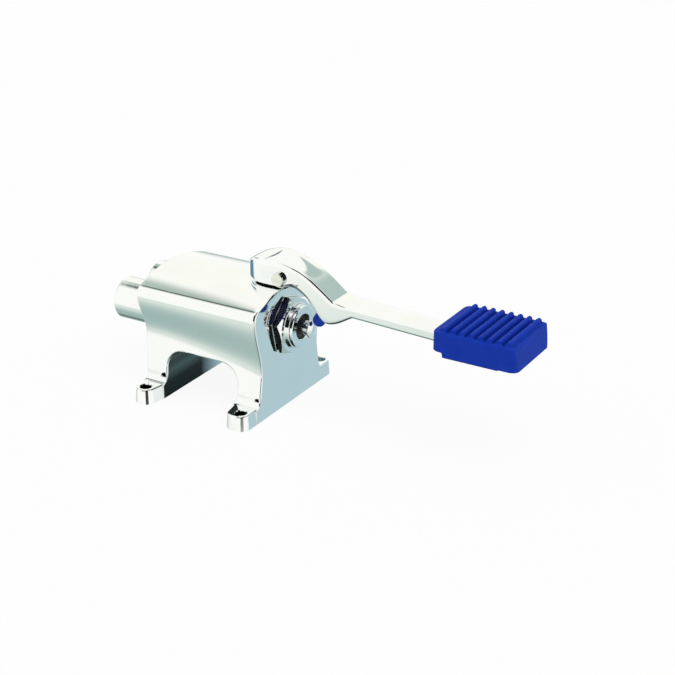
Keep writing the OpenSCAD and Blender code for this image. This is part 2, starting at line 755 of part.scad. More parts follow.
module hinge_pin() {
    half = head_w / 2 + pin_proud;
    r = pin_d / 2;
    chamfer = 0.5;
    color(steel) translate([pin_x, 0, pin_z]) rotate([90, 0, 0]) rotate_extrude() polygon([[0, -half],
        [r - chamfer, -half], [r, -half + chamfer], [r, half - chamfer], [r - chamfer, half], [0, half]]);
}

module bumper() {
    color(blue_rubber) on_bumper_axis() {
        sphere(bumper_r);
        cylinder(h = bumper_seat, d = bumper_d);
        cylinder(h = bumper_seat + bumper_stem_l, d = bumper_stem_d);
    }
}

// Rubber pad: a boot over the plate, with cross ribs between two plain borders and a lip below
border = 6.6;
rib_pitch = (pad_l - 2 * border) / (rib_count - 1);
front_slope = 3.6;
pad_top = pad_z + pad_h;
rib_side = 2.4;
rib_sunk = 0.6;
lip_inset_rear = 7;
lip_inset_front = 11.5;
lip_x0 = pad_x + lip_inset_rear;
lip_x1 = pad_end_x - lip_inset_front;
lip_rear = 3.1;
lip_front = 0.7;
window_inset_x = 11.5;
window_inset_y = 11;

module pad_blank() {
    difference() {
        translate([0, 0, pad_z]) linear_extrude(pad_h) rounded_plan(pad_x, pad_end_x, pad_w, pad_corner_r);
        upright(pad_w + 2 * cut) {
            polygon([[pad_end_x - border, pad_top], [pad_end_x + cut, pad_top - front_slope],
                [pad_end_x + cut, pad_top + cut], [pad_end_x - border, pad_top + cut]]);
            translate([pad_x - cut, pad_z - cut]) square([lip_x0 - pad_x + cut, lip_rear + cut]);
            translate([lip_x1, pad_z - cut]) square([pad_end_x - lip_x1 + cut, lip_front + cut]);
        }
    }
}

module pad_rib(i) {
    x = pad_x + border + i * rib_pitch;
    upright(pad_w - 2 * rib_side) translate([x, pad_top - rib_sunk]) {
        translate([-rib_w / 2, -cut]) square([rib_w, rib_h + cut - rib_w / 2]);
        translate([0, rib_h - rib_w / 2]) circle(d = rib_w);
    }
}

module pedal_pad() {
    color(blue_rubber) difference() {
        union() {
            pad_blank();
            for (i = [0:rib_count - 1]) pad_rib(i);
        }
        pedal_plate(seat_gap);
        upright(arm_w + 2 * seat_gap) translate([pin_x, pin_z]) polygon(lever_points);
        translate([pad_x + window_inset_x, window_inset_y - pad_w / 2, pad_z - cut])
            cube([pad_l - 2 * window_inset_x, pad_w - 2 * window_inset_y, pad_floor + 2 * cut]);
    }
}

valve_body();
valve_seat();
seat_gasket();
headwork();
flange_gasket();
bonnet_o_rings();
gland_nut();
spindle_seals();
wiper_ring();
pivot_bush();
return_spring();
spindle();
spring_collar();
valve_disc();
seat_washer();
disc_nut();
spindle_cap();
pedal_lever();
hinge_pin();
bumper();
pedal_pad();
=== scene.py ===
import math

import bmesh
import bpy
import numpy as np
from mathutils import Matrix, Vector


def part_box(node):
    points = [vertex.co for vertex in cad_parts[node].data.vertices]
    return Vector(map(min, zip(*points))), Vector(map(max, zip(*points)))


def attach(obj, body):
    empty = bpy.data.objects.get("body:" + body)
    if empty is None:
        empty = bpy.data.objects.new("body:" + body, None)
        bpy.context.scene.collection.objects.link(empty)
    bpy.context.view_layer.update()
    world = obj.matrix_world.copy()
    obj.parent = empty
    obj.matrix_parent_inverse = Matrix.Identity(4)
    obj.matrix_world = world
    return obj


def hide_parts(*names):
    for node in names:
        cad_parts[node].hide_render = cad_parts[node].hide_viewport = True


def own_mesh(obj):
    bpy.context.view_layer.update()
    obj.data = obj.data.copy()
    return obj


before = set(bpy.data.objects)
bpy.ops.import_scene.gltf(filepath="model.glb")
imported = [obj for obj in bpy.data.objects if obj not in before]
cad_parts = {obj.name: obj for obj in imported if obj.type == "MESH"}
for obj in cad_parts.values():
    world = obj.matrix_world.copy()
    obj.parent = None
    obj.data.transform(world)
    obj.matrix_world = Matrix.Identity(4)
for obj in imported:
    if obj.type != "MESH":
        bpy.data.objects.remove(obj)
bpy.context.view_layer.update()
scene = bpy.context.scene
scene.view_settings.view_transform = "Standard"


# Camera: it stands before the near front corner of the valve, a little above the pedal,
# with a long lens.
camera_azimuth = math.radians(30.46)
camera_elevation = math.radians(23.78)
camera_roll = math.radians(0.36)
camera_distance = 0.9056
camera_target = Vector((0.07462, 0, 0.05039))
camera_lens, film_width = 81.53, 36

back = Vector((math.sin(camera_azimuth) * math.cos(camera_elevation),
               -math.cos(camera_azimuth) * math.cos(camera_elevation), math.sin(camera_elevation)))
level = Vector((math.cos(camera_azimuth), math.sin(camera_azimuth), 0))
right = level * math.cos(camera_roll) + back.cross(level) * math.sin(camera_roll)
camera_data = bpy.data.cameras.new("camera")
camera_data.sensor_width = film_width
camera_data.lens = camera_lens
camera = bpy.data.objects.new("camera", camera_data)
camera.matrix_world = Matrix((right, back.cross(right), back)).transposed().to_4x4()
camera.matrix_world.translation = camera_target + back * camera_distance
scene.collection.objects.link(camera)
scene.camera = camera


# Body casting: the saddle that stands on the floor, one brass casting with four screw lugs, two pipe ports
# behind and a tongue for the lever's pin. Linished, polished all over and plated with bright chrome.
# Lengths here and below are millimetres, and plain_mesh turns them into metres.
mm = 0.001
same_spot, weld_gap, least_r = 0.0004, 0.002, 0.001


def box_mm(node):
    low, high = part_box(node)
    return np.array(low) / mm, np.array(high) / mm


def plain_mesh(name, points, faces, material):
    mesh = bpy.data.meshes.new(name)
    mesh.from_pydata((np.asarray(points, float) * mm).tolist(), [], faces)
    shape = bmesh.new()
    shape.from_mesh(mesh)
    bmesh.ops.remove_doubles(shape, verts=shape.verts, dist=same_spot * mm)
    bmesh.ops.recalc_face_normals(shape, faces=shape.faces)
    shape.to_mesh(mesh)
    shape.free()
    mesh.materials.append(material)
    piece = bpy.data.objects.new(name, mesh)
    scene.collection.objects.link(piece)
    return piece


def loft(rings, round_trip=False):
    """Points and faces of closed rings joined one to the next, capped unless the last meets the first."""
    count = len(rings[0])
    faces = []
    for k in range(len(rings) if round_trip else len(rings) - 1):
        a, b = k * count, (k + 1) % len(rings) * count
        faces += [(a + i, a + (i + 1) % count, b + (i + 1) % count, b + i) for i in range(count)]
    if not round_trip:
        faces += [tuple(range(count)), tuple(range((len(rings) - 1) * count, len(rings) * count))]
    return np.concatenate([np.asarray(ring, float) for ring in rings]), faces


def take_result(piece):
    """Swap a piece's mesh for what its modifiers make of it, and remove them."""
    result = bpy.data.meshes.new_from_object(piece.evaluated_get(bpy.context.evaluated_depsgraph_get()))
    piece.modifiers.clear()
    piece.data = result


def carve(piece, tool, operation="DIFFERENCE"):
    cut_step = piece.modifiers.new("carve", "BOOLEAN")
    cut_step.operation = operation
    cut_step.solver = "EXACT"
    cut_step.material_mode = "TRANSFER"
    cut_step.object = tool
    take_result(piece)
    bpy.data.objects.remove(tool)
    shape = bmesh.new()
    shape.from_mesh(piece.data)
    bmesh.ops.remove_doubles(shape, verts=shape.verts, dist=weld_gap * mm)
    bmesh.ops.dissolve_degenerate(shape, edges=shape.edges, dist=weld_gap * mm)
    shape.to_mesh(piece.data)
    shape.free()


def polish(piece, crease=32):
    """Smooth shading with crisp edges, weighted so that flat faces stay flat."""
    piece.data.shade_smooth()
    piece.data.set_sharp_from_angle(angle=math.radians(crease))
    weighting = piece.modifiers.new("weighting", "WEIGHTED_NORMAL")
    weighting.keep_sharp = True
    take_result(piece)


def ease(t):
    t = np.clip(t, 0, 1)
    return t * t * (3 - 2 * t)


def arc(centre, radius, start, end, steps):
    angle = np.radians(np.linspace(start, end, steps + 1))
    return np.stack([centre[0] + radius * np.cos(angle), centre[1] + radius * np.sin(angle)], 1)


def right_of(along):
    """Unit vectors square to the run of a drawing, on its right-hand side."""
    return np.stack([along[:, 1], -along[:, 0]], 1) / np.linalg.norm(along, axis=1)[:, None]


def add_node(tree, kind, values=None, **settings):
    node = tree.nodes.new(kind)
    for key, value in settings.items():
        setattr(node, key, value)
    for socket, value in (values or {}).items():
        if isinstance(value, bpy.types.NodeSocket):
            tree.links.new(value, node.inputs[socket])
        else:
            node.inputs[socket].default_value = value
    return node


def new_material(name, **shader_values):
    material = bpy.data.materials.new(name)
    material.use_nodes = True
    shader = material.node_tree.nodes["Principled BSDF"]
    for socket, value in shader_values.items():
        shader.inputs[socket.replace("_", " ").title().replace("Ior", "IOR")].default_value = value
    place = add_node(material.node_tree, "ShaderNodeTexCoord").outputs["Object"]
    return material, material.node_tree, shader, place


def noise_of(tree, place, scale, detail=2.0, roughness=0.5):
    return add_node(tree, "ShaderNodeTexNoise", {"Vector": place, "Scale": scale, "Detail": detail,
                                                 "Roughness": roughness}).outputs["Fac"]


def stretched(tree, place, scale):
    return add_node(tree, "ShaderNodeMapping", {"Vector": place, "Scale": scale}).outputs["Vector"]


def spread(tree, value, low, high, source_low=0.3, source_high=0.7):
    return add_node(tree, "ShaderNodeMapRange", {
        "Value": value, "From Min": source_low, "From Max": source_high,
        "To Min": low, "To Max": high}).outputs["Result"]


def between(tree, share, first, second):
    mix = add_node(tree, "ShaderNodeMix", {"Factor": share}, data_type="RGBA")
    mix.inputs["A"].default_value = (*first, 1)
    mix.inputs["B"].default_value = (*second, 1)
    return mix.outputs["Result"]


def colour_by(tree, shader, value, first, second):
    tint = between(tree, spread(tree, value, 0, 1), first, second)
    tree.links.new(tint, shader.inputs["Base Color"])


def gloss_by(tree, shader, value, *span):
    tree.links.new(spread(tree, value, *span), shader.inputs["Roughness"])


def relief(tree, shader, height, depth):
    bump = add_node(tree, "ShaderNodeBump", {"Height": height, "Distance": depth * mm, "Strength": 1.0})
    tree.links.new(bump.outputs["Normal"], shader.inputs["Normal"])


def chrome_plate(name, bright, dull, gloss, wave):
    """Bright plating: a breath of tint, polishing haze in the gloss, the faint wave of a buffed surface."""
    tint_grain, wave_grain, stroke_grain = 45, 110, (160, 2600, 900)
    least_haze, most_haze = gloss * 0.8, gloss * 1.3
    material, tree, shader, place = new_material(name, metallic=1.0)
    colour_by(tree, shader, noise_of(tree, place, tint_grain), bright, dull)
    strokes = noise_of(tree, stretched(tree, place, stroke_grain), 1.0, detail=4.0)
    gloss_by(tree, shader, strokes, least_haze, most_haze)
    relief(tree, shader, noise_of(tree, place, wave_grain), wave)
    return material


cast_chrome = chrome_plate("cast_chrome", (0.965, 0.975, 0.970), (0.935, 0.950, 0.940), 0.07, 0.012)

gasket_low, gasket_high = box_mm("flange_gasket")
pin_low, pin_high = box_mm("hinge_pin")
body_low, _ = box_mm("valve_body")
axis_z = (gasket_low[2] + gasket_high[2]) / 2
front_x = gasket_low[0]
rear_x = -front_x
pin_x, pin_z = (pin_low[0] + pin_high[0]) / 2, (pin_low[2] + pin_high[2]) / 2
port_end_x = body_low[0]

hole_pitch = np.array([70, 90])
hole_d = 7
lug_r, lug_h, lug_round, lug_draw, lug_draft, lug_root_in = 6.44, 9.5, 0.9, 1.6, 0.55, 1
crown_z, dome_r, shoulder_w, shoulder_r = 77.5, 108, 77, 7
waist_w, waist_z, foot_w, foot_r = 63.5, 30, 67.5, 4
front_leg, rear_leg = 17, 14.5
rear_fall, rear_dome_r, rear_taper = 0.5, 94, 2.5
rear_waist_taper, rear_waist_rise, rear_lean = 0.5, 10, 4.3
front_edge_r, rear_edge_r, foot_sunk, foot_clear = 1.5, 1.25, 0.3, 0.06
foot_steps, leg_steps, flank_steps, shoulder_steps, dome_steps, body_steps = 10, 12, 44, 18, 24, 30
foot_y, leg_z = foot_w / 2 + foot_r, lug_h + foot_r - foot_sunk
loft_start, loft_span = rear_x + rear_edge_r, 2 * front_x - front_edge_r - rear_edge_r


def grown(rear, front, t):
    return rear + (front - rear) * t * t


def flank_sizes(t):
    """Half widths and heights of the waist and of the shoulder's widest point, crown and dome radius."""
    crown, radius = grown(crown_z - rear_fall, crown_z, t), grown(rear_dome_r, dome_r, t)
    half = grown(shoulder_w - rear_taper, shoulder_w, t) / 2
    height = crown - radius + np.sqrt((radius - shoulder_r) ** 2 - (half - shoulder_r) ** 2)
    waist = grown(waist_w - rear_waist_taper, waist_w, t) / 2
    return waist, grown(waist_z + rear_waist_rise, waist_z, t), half, height, crown, radius


def flank_y(x, z):
    """Half width of the casting at a place along it and a height, from the lugs up to the shoulder."""
    lean = rear_lean * z / crown_z
    waist, waist_h, half, height, _, _ = flank_sizes((x - loft_start + lean) / (loft_span + lean))
    leg = foot_w / 2 + (waist - foot_w / 2) * ease((z - leg_z) / (waist_h - leg_z))
    swell = waist + (half - waist) * ease((z - waist_h) / (height - waist_h))
    fillet = foot_y - np.sqrt(np.clip(foot_r ** 2 - (z - leg_z) ** 2, 0, None))
    return np.where(z > waist_h, swell, np.where(z > leg_z, leg, np.where(z > lug_h, fillet, foot_y)))


def body_section(t):
    waist, waist_h, half, height, crown, radius = flank_sizes(t)
    angle = 90 - math.degrees(math.asin((half - shoulder_r) / (radius - shoulder_r)))
    rise = np.linspace(0, 1, leg_steps + 1)[1:]
    climb = np.linspace(0, 1, flank_steps + 1)[1:]
    side = np.concatenate([
        [[foot_y, foot_clear]],
        arc((foot_y, leg_z), foot_r, 270, 180, foot_steps),
        np.stack([foot_w / 2 + (waist - foot_w / 2) * ease(rise), leg_z + (waist_h - leg_z) * rise], 1),
        np.stack([waist + (half - waist) * ease(climb), waist_h + (height - waist_h) * climb], 1),
        arc((half - shoulder_r, height), shoulder_r, 0, angle, shoulder_steps)[1:],
        arc((0, crown - radius), radius, angle, 90, dome_steps)[1:]])
    return np.concatenate([side, side[-2::-1] * [-1, 1]])


def body_ring(x, t, inset):
    outline = body_section(t)
    outward = right_of(np.gradient(outline, axis=0))
    outward[0], outward[-1] = (1, 0), (-1, 0)
    drawn = outline - inset * ease((outline[:, 1] - lug_h) / (2 * foot_r))[:, None] * outward
    lean = rear_lean * (1 - t) * drawn[:, 1] / crown_z
    return np.column_stack([x - lean, drawn])


quarter = np.radians(np.linspace(90, 0, 9))


def rounding(radius, stride):
    """Steps round an edge: how far each lies in from the side and back from the face."""
    return [(radius * (1 - math.cos(a)), radius * (1 - math.sin(a))) for a in quarter[::stride]]


body_rings = [body_ring(rear_x + set_back, 0, inset) for inset, set_back in rounding(rear_edge_r, 1)]
body_rings += [body_ring(loft_start + t * loft_span, t, 0) for t in np.linspace(0, 1, body_steps + 1)[1:-1]]
body_rings += [body_ring(front_x - set_back, 1, inset) for inset, set_back in rounding(front_edge_r, -1)]
body_casting = plain_mesh("body_casting", *loft(body_rings), cast_chrome)


def turned(name, profile, material, y=0.0, axis="x", steps=96):
    """A piece turned on the lathe: radius against distance along the valve axis or the pin's axis."""
    angle = np.linspace(0, 2 * math.pi, steps, endpoint=False)
    rings = []
    for radius, along in profile:
        a, b = max(radius, least_r) * np.cos(angle), max(radius, least_r) * np.sin(angle)
        flat = np.full(steps, along)
        spots = [flat, a + y, b + axis_z] if axis == "x" else [a + pin_x, flat, b + pin_z]
        rings.append(np.column_stack(spots))
    hollow = min(radius for radius, _ in profile) > 0
    return plain_mesh(name, *loft(rings, round_trip=hollow), material)


def bore(radius, start, end):
    """Profile of a plain drilled hole."""
    return [(0, start), (radius, start), (radius, end), (0, end)]


def upright(name, outline, low_y, high_y, material):
    """A drawing of X and Z given a thickness across Y."""
    return plain_mesh(name, *loft([np.insert(outline, 1, y, axis=1) for y in (low_y, high_y)]), material)


def lug_blank(side_x, side_y):
    leg = front_leg if side_x > 0 else rear_leg
    hole = hole_pitch / 2
    inner = np.array([min(hole[0], front_x - leg + lug_draw + lug_r), hole[1]])
    root = np.array([front_x - leg - lug_root_in, waist_w / 2 - 2 * front_edge_r])
    reach = inner - root
    away = np.hypot(*reach)
    turn = math.degrees(math.atan2(reach[1], reach[0]) + math.asin(lug_r / away)) + 90
    outline = np.concatenate([[[hole[0] + lug_r, root[1]]], arc(hole, lug_r, 0, 90, steps=16),
                              arc(inner, lug_r, 90, turn, steps=12)[1:], [root]])
    outward = right_of(np.roll(outline, -1, 0) - np.roll(outline, 1, 0))
    layers = [(0, 0)]
    layers += [(lug_h - set_back, lug_draft + inset) for inset, set_back in rounding(lug_round, -1)]
    rings = [np.column_stack([(outline - inset * outward) * [side_x, side_y], np.full(len(outline), z)])
             for z, inset in layers]
    return plain_mesh("lug", *loft(rings), cast_chrome)


port_y, port_r, port_round = 17, 13, 1.2
port_profile = [(0, rear_x + rear_edge_r), (port_r, rear_x + rear_edge_r)]
port_profile += [(port_r - inset, port_end_x + set_back) for inset, set_back in rounding(port_round, -1)]
port_profile += [(0, port_end_x)]
tongue_t, tongue_r, tongue_base, tongue_sunk = 9, 7.3, 14, 3


def touching(point, centre, radius, side):
    """Where a line from a point touches a circle."""
    reach = np.subtract(centre, point)
    away = np.hypot(*reach)
    angle = math.atan2(reach[1], reach[0]) + side * math.asin(radius / away)
    return point + math.sqrt(away ** 2 - radius ** 2) * np.array([math.cos(angle), math.sin(angle)])


tongue_rear = np.array([pin_x - tongue_base, crown_z - tongue_sunk])
tongue_front = np.array([front_x - front_edge_r, crown_z - 2 * front_edge_r])
tongue_from = touching(tongue_front, (pin_x, pin_z), tongue_r, -1) - (pin_x, pin_z)
tongue_to = touching(tongue_rear, (pin_x, pin_z), tongue_r, 1) - (pin_x, pin_z)
tongue_outline = np.concatenate([[tongue_rear, tongue_front], arc(
    (pin_x, pin_z), tongue_r, math.degrees(math.atan2(tongue_from[1], tongue_from[0])),
    math.degrees(math.atan2(tongue_to[1], tongue_to[0])), steps=32)])

# Where the polishing wheel can't reach, in the tunnel and the screw holes, the plating is dull. Its colour is
# painted shade: near black, with painted reflection bands by height and a pale painted reflection towards the
# far side
arch_x0, arch_x1, arch_h, arch_r = rear_x + rear_leg, front_x - front_leg, 31.5, 12
# Painted shade, near black at the foot and top of the wall, with painted reflection bands between them set by
# height
painted_deep_shade = (0.005, 0.007, 0.007)
painted_reflection_bands = ((0.30, (0.012, 0.017, 0.017)), (0.52, (0.10, 0.135, 0.13)), (0.70, (0.03, 0.042, 0.04)),
                (0.85, painted_deep_shade))
painted_far_reflection, far_reflection_start, far_reflection_full = ((0.66, 0.75, 0.78), (0.58, 0.67, 0.70)), 0.002, 0.022
dull_plating_painted_shade, shade_tree, shade_shader, shade_place = new_material("dull_plating_painted_shade", metallic=1.0)
sand = noise_of(shade_tree, shade_place, 1400, detail=4.0, roughness=0.6)
deep = add_node(shade_tree, "ShaderNodeSeparateXYZ", {"Vector": shade_place}).outputs
painted_band_ramp = add_node(shade_tree, "ShaderNodeValToRGB", {
    "Fac": spread(shade_tree, deep["Z"], 0, 1, 0, arch_h * mm)})
stops = painted_band_ramp.color_ramp.elements
for place, tone in painted_reflection_bands:
    stops.new(place).color = (*tone, 1)
stops[0].color = stops[-1].color = (*painted_deep_shade, 1)
# Towards the far side the painted bands give way to a pale blue painted reflection
painted_shade_tint = add_node(shade_tree, "ShaderNodeMix", {
    "A": painted_band_ramp.outputs["Color"], "B": between(shade_tree, sand, *painted_far_reflection),
    "Factor": spread(shade_tree, deep["Y"], 0, 1, far_reflection_start, far_reflection_full)}, data_type="RGBA")
shade_tree.links.new(painted_shade_tint.outputs["Result"], shade_shader.inputs["Base Color"])
gloss_by(shade_tree, shade_shader, noise_of(shade_tree, shade_place, 300, detail=3.0), 0.20, 0.34)
relief(shade_tree, shade_shader, sand, 0.02)


def dull_inside(tool, inside):
    """Give the faces that a tool leaves inside the casting the dull plating, coloured with painted shade."""
    tool.data.materials.append(dull_plating_painted_shade)
    for face in tool.data.polygons:
        face.material_index = int(inside([tool.data.vertices[i].co / mm for i in face.vertices]))
    return tool


def below_edge(spots):
    return max(spot.z for spot in spots) < lug_h


hole_edge, hole_turn, hole_steps, overrun = 0.5, 2, 48, 1
hole_circle = arc((0, 0), 1, hole_turn, hole_turn + 360, hole_steps)[:-1]
hole_levels = [(-overrun, hole_d / 2), (lug_h - hole_edge, hole_d / 2),
               (lug_h + overrun, hole_d / 2 + hole_edge + overrun)]
for side_x in (-1, 1):
    for side_y in (-1, 1):
        lug = lug_blank(side_x, side_y)
        centre = hole_pitch / 2 * [side_x, side_y]
        drill = plain_mesh("drill", *loft([
            np.column_stack([hole_circle * radius + centre, np.full(hole_steps, z)])
            for z, radius in hole_levels]), cast_chrome)
        # The hole walls below the lug top get the dull plating coloured with painted shade
        carve(lug, dull_inside(drill, below_edge))
        carve(body_casting, lug, "UNION")
for side_y in (-1, 1):
    carve(body_casting, turned("port", port_profile, cast_chrome, side_y * port_y), "UNION")
carve(body_casting, upright("tongue", tongue_outline, -tongue_t / 2, tongue_t / 2, cast_chrome), "UNION")

# The arched tunnel under the saddle. Its rim is rounded and polished where it breaks out of each flank, and
# inside it has a dull plating coloured with painted shade and painted reflection bands.
rim_r, rim_least, rim_fade = 1.4, 0.2, 7
below, outside = -2, 60
wall_steps, bend_steps, roof_steps = 14, 18, 14
wall_z = np.linspace(0, arch_h - arch_r, wall_steps + 1)[:-1]
roof_x = np.linspace(arch_x0 + arch_r, arch_x1 - arch_r, roof_steps + 2)[1:-1]
arch = np.concatenate([
    [[arch_x0, below]], np.column_stack([np.full(wall_steps, arch_x0), wall_z]),
    arc((arch_x0 + arch_r, arch_h - arch_r), arch_r, 180, 90, bend_steps),
    np.column_stack([roof_x, np.full(roof_steps, arch_h)]),
    arc((arch_x1 - arch_r, arch_h - arch_r), arch_r, 90, 0, bend_steps),
    np.column_stack([np.full(wall_steps, arch_x1), wall_z[::-1]]), [[arch_x1, below]]])
arch_out = -right_of(np.gradient(arch, axis=0))
arch_out[[0, -1]] = (-1, 0), (1, 0)
rim = rim_least + (rim_r - rim_least) * ease((arch[:, 1] - lug_h) / rim_fade)


def rim_station(widen, depth, side):
    spot = arch + (widen * rim)[:, None] * arch_out
    return np.column_stack([spot[:, 0], side * (flank_y(spot[:, 0], spot[:, 1]) - depth * rim), spot[:, 1]])


def spans_middle(spots):
    sides = [spot.y for spot in spots]
    return min(sides) < 0 < max(sides)


# The rim's round stops short of the flank and runs on straight through it
rim_angles = np.radians(np.linspace(78, 0, 10))
rim_run_on = (1.281, -0.082)
rim_steps = [rim_run_on] + [(1 - math.cos(a), 1 - math.sin(a)) for a in rim_angles]
tunnel_rings = [rim_station(*step, -1) for step in rim_steps]
tunnel_rings += [rim_station(*step, 1) for step in rim_steps[::-1]]
for ring, side in ((tunnel_rings[0], -1), (tunnel_rings[-1], 1)):
    end = ring.copy()
    end[:, 1] = side * outside
    tunnel_rings.insert(0 if side < 0 else len(tunnel_rings), end)
tunnel = plain_mesh("tunnel", *loft(tunnel_rings), cast_chrome)
# The tunnel's inner faces get the dull plating with its painted shade and painted reflection bands
carve(body_casting, dull_inside(tunnel, spans_middle))

# Bored from the casting: the valve bore, the ports and the pin's eye
bonnet_depth, seat_depth, bore_depth = 26.5, 41.5, 69.5
inlet_bore_r, seat_bore_r, bonnet_bore_r = 9, 11, 12.05
bonnet_x, seat_x, inlet_x = front_x - bonnet_depth, front_x - seat_depth, front_x - bore_depth
carve(body_casting, turned("valve_bore", [
    (0, inlet_x), (inlet_bore_r, inlet_x), (inlet_bore_r, seat_x), (seat_bore_r, seat_x),
    (seat_bore_r, bonnet_x), (bonnet_bore_r, bonnet_x), (bonnet_bore_r, front_x + overrun),
    (0, front_x + overrun)], cast_chrome))
port_bore_r, port_depth, port_cone, port_mouth, passage_r, passage_in = 9.3, 14, 2, 1.2, 5.5, 13
for y, cross_x in ((-port_y, inlet_x + passage_in), (port_y, seat_x + passage_in)):
    carve(body_casting, turned("port_bore", [
        (0, port_end_x - overrun), (port_bore_r + port_mouth + overrun, port_end_x - overrun),
        (port_bore_r, port_end_x + port_mouth), (port_bore_r, port_end_x + port_depth),
        (passage_r, port_end_x + port_depth + port_cone), (passage_r, cross_x), (0, cross_x)],
        cast_chrome, y))
bush_low, bush_high = box_mm("pivot_bush")
bush_r = (bush_high[0] - bush_low[0]) / 2
carve(body_casting, turned("eye", bore(bush_r, -tongue_t, tongue_t), cast_chrome, axis="y"))
polish(body_casting)
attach(body_casting, "body")
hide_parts("valve_body")


# Headwork: the bonnet that screws into the front of the casting, turned from brass bar with a thin hexagon
# for the spanner and a round collar before it, chromed. The hexagon's corners are turned off on the lathe.
turned_chrome = chrome_plate("turned_chrome", (0.955, 0.965, 0.965), (0.91, 0.925, 0.925), 0.06, 0.006)
_, head_high = box_mm("headwork")
hex_x = gasket_high[0]
hex_af, hex_t, hex_round, hex_turn = 34, 3.7, 0.7, 14
hex_face_r, hex_slope, hex_break = 16.6, math.tan(math.radians(30)), 0.3
collar_r, sleeve_r, room_r, guide_r, guide_t = 14, 12, 9.2, 4.05, 3.5
sleeve_edge, collar_root, collar_root_mid, collar_edge, collar_edge_mid = 0.4, 0.5, 0.15, 0.8, 0.25
collar_x = hex_x + hex_t
gland_x = head_high[0]
guide_x = bonnet_x + guide_t

corners = np.radians(np.arange(6) * 60 + hex_turn)
corner_reach = (hex_af / 2 - hex_round) / math.cos(math.radians(30))
hex_outline = np.concatenate([
    arc((0, 0), hex_round, math.degrees(a) - 30, math.degrees(a) + 30, steps=8)
    + corner_reach * np.array([math.cos(a), math.sin(a)]) for a in corners])
dense = [hex_outline]
for share in (0.25, 0.5, 0.75):
    dense.append(hex_outline + share * (np.roll(hex_outline, -1, 0) - hex_outline))
hex_outline = np.stack(dense, 1).reshape(-1, 2)
hex_radius = np.hypot(*hex_outline.T)
hex_unit = hex_outline / hex_radius[:, None]


def hex_ring(radius, x):
    spot = hex_unit * np.broadcast_to(radius, hex_radius.shape)[:, None]
    return np.column_stack([np.broadcast_to(x, hex_radius.shape), spot[:, 1], axis_z - spot[:, 0]])


hex_top = collar_x - (hex_radius - hex_face_r) * hex_slope
groove_w, groove_d, first_groove, second_groove = 2.3, 1.7, 3, 7.5
groove_xs = [guide_x + first_groove, guide_x + second_groove]
sleeve = [(guide_r, bonnet_x), (sleeve_r - sleeve_edge, bonnet_x), (sleeve_r, bonnet_x + sleeve_edge)]
for x in groove_xs:
    sleeve += [(sleeve_r, x), (sleeve_r - groove_d, x),
               (sleeve_r - groove_d, x + groove_w), (sleeve_r, x + groove_w)]
sleeve += [(sleeve_r, hex_x)]
collar = [(collar_r + collar_root, collar_x), (collar_r + collar_root_mid, collar_x + collar_root_mid),
          (collar_r, collar_x + collar_root), (collar_r, gland_x - collar_edge),
          (collar_r - collar_edge_mid, gland_x - collar_edge_mid), (collar_r - collar_edge, gland_x),
          (room_r, gland_x), (room_r, guide_x), (guide_r, guide_x)]
head_rings = [hex_ring(radius, x) for radius, x in sleeve]
head_rings += [hex_ring(hex_radius - hex_break, hex_x), hex_ring(hex_radius, hex_x + hex_break),
               hex_ring(hex_radius, hex_top), hex_ring(hex_face_r, collar_x)]
head_rings += [hex_ring(radius, x) for radius, x in collar]
headwork_bonnet = plain_mesh("headwork_bonnet", *loft(head_rings, round_trip=True), turned_chrome)
polish(headwork_bonnet, crease=25)
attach(headwork_bonnet, "body")
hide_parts("headwork")


# Gland nut: a short chromed nut that screws into the headwork and holds the rod's seals.
# Its head is a plain round flange with a recess round the rod.
gland_low, gland_high = box_mm("gland_nut")
wiper_low, wiper_high = box_mm("wiper_ring")
gland_r, gland_face, recess_r, recess_x = 13, gland_high[0], 7.8, wiper_low[0]
neck_r, seal_r, rod_hole_r, gland_web, gland_gap = 9.15, 7, 4.55, 1, 0.05
gland_break, recess_break, gland_edge, gland_edge_mid = 0.3, 0.35, 0.9, 0.28
web_x = recess_x - gland_web
flange_x = gland_x + gland_gap
gland_nut_head = turned("gland_nut_head", [
    (seal_r, gland_low[0]), (neck_r - gland_break, gland_low[0]), (neck_r, gland_low[0] + gland_break),
    (neck_r, flange_x), (gland_r - gland_break, flange_x), (gland_r, flange_x + gland_break),
    (gland_r, gland_face - gland_edge), (gland_r - gland_edge_mid, gland_face - gland_edge_mid),
    (gland_r - gland_edge, gland_face), (recess_r + recess_break, gland_face),
    (recess_r, gland_face - recess_break), (recess_r, recess_x), (rod_hole_r, recess_x),
    (rod_hole_r, web_x), (seal_r, web_x)], turned_chrome)
polish(gland_nut_head, crease=25)
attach(gland_nut_head, "body")
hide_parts("gland_nut")


# Rubber rings: moulded black nitrile. A flat gasket under the hexagon, two O-rings round the sleeve,
# two lip seals and a wiper round the rod, and the washer that closes the seat.
def rubber(name, shine, tones, cloud, gloss_grain, gloss, skin, skin_depth):
    """Moulded rubber: a cloudy bloom in its colour, an uneven gloss and a finely pitted skin."""
    material, tree, shader, place = new_material(name, specular_ior_level=shine)
    colour_by(tree, shader, noise_of(tree, place, cloud, detail=5.0, roughness=0.6), *tones)
    gloss_by(tree, shader, noise_of(tree, place, gloss_grain, detail=3.0), *gloss)
    relief(tree, shader, noise_of(tree, place, *skin), skin_depth)
    return material


black_rubber = rubber("black_rubber", shine=0.35, tones=((0.012, 0.012, 0.014), (0.030, 0.031, 0.034)),
                      cloud=300, gloss_grain=900, gloss=(0.42, 0.58), skin=(2600, 3.0), skin_depth=0.03)


def ring_band(low, high, inner, outer, edge):
    """Profile of a ring between two places, its four edges softened."""
    return [(inner + edge, low), (outer - edge, low), (outer, low + edge), (outer, high - edge),
            (outer - edge, high), (inner + edge, high), (inner, high - edge), (inner, low + edge)]


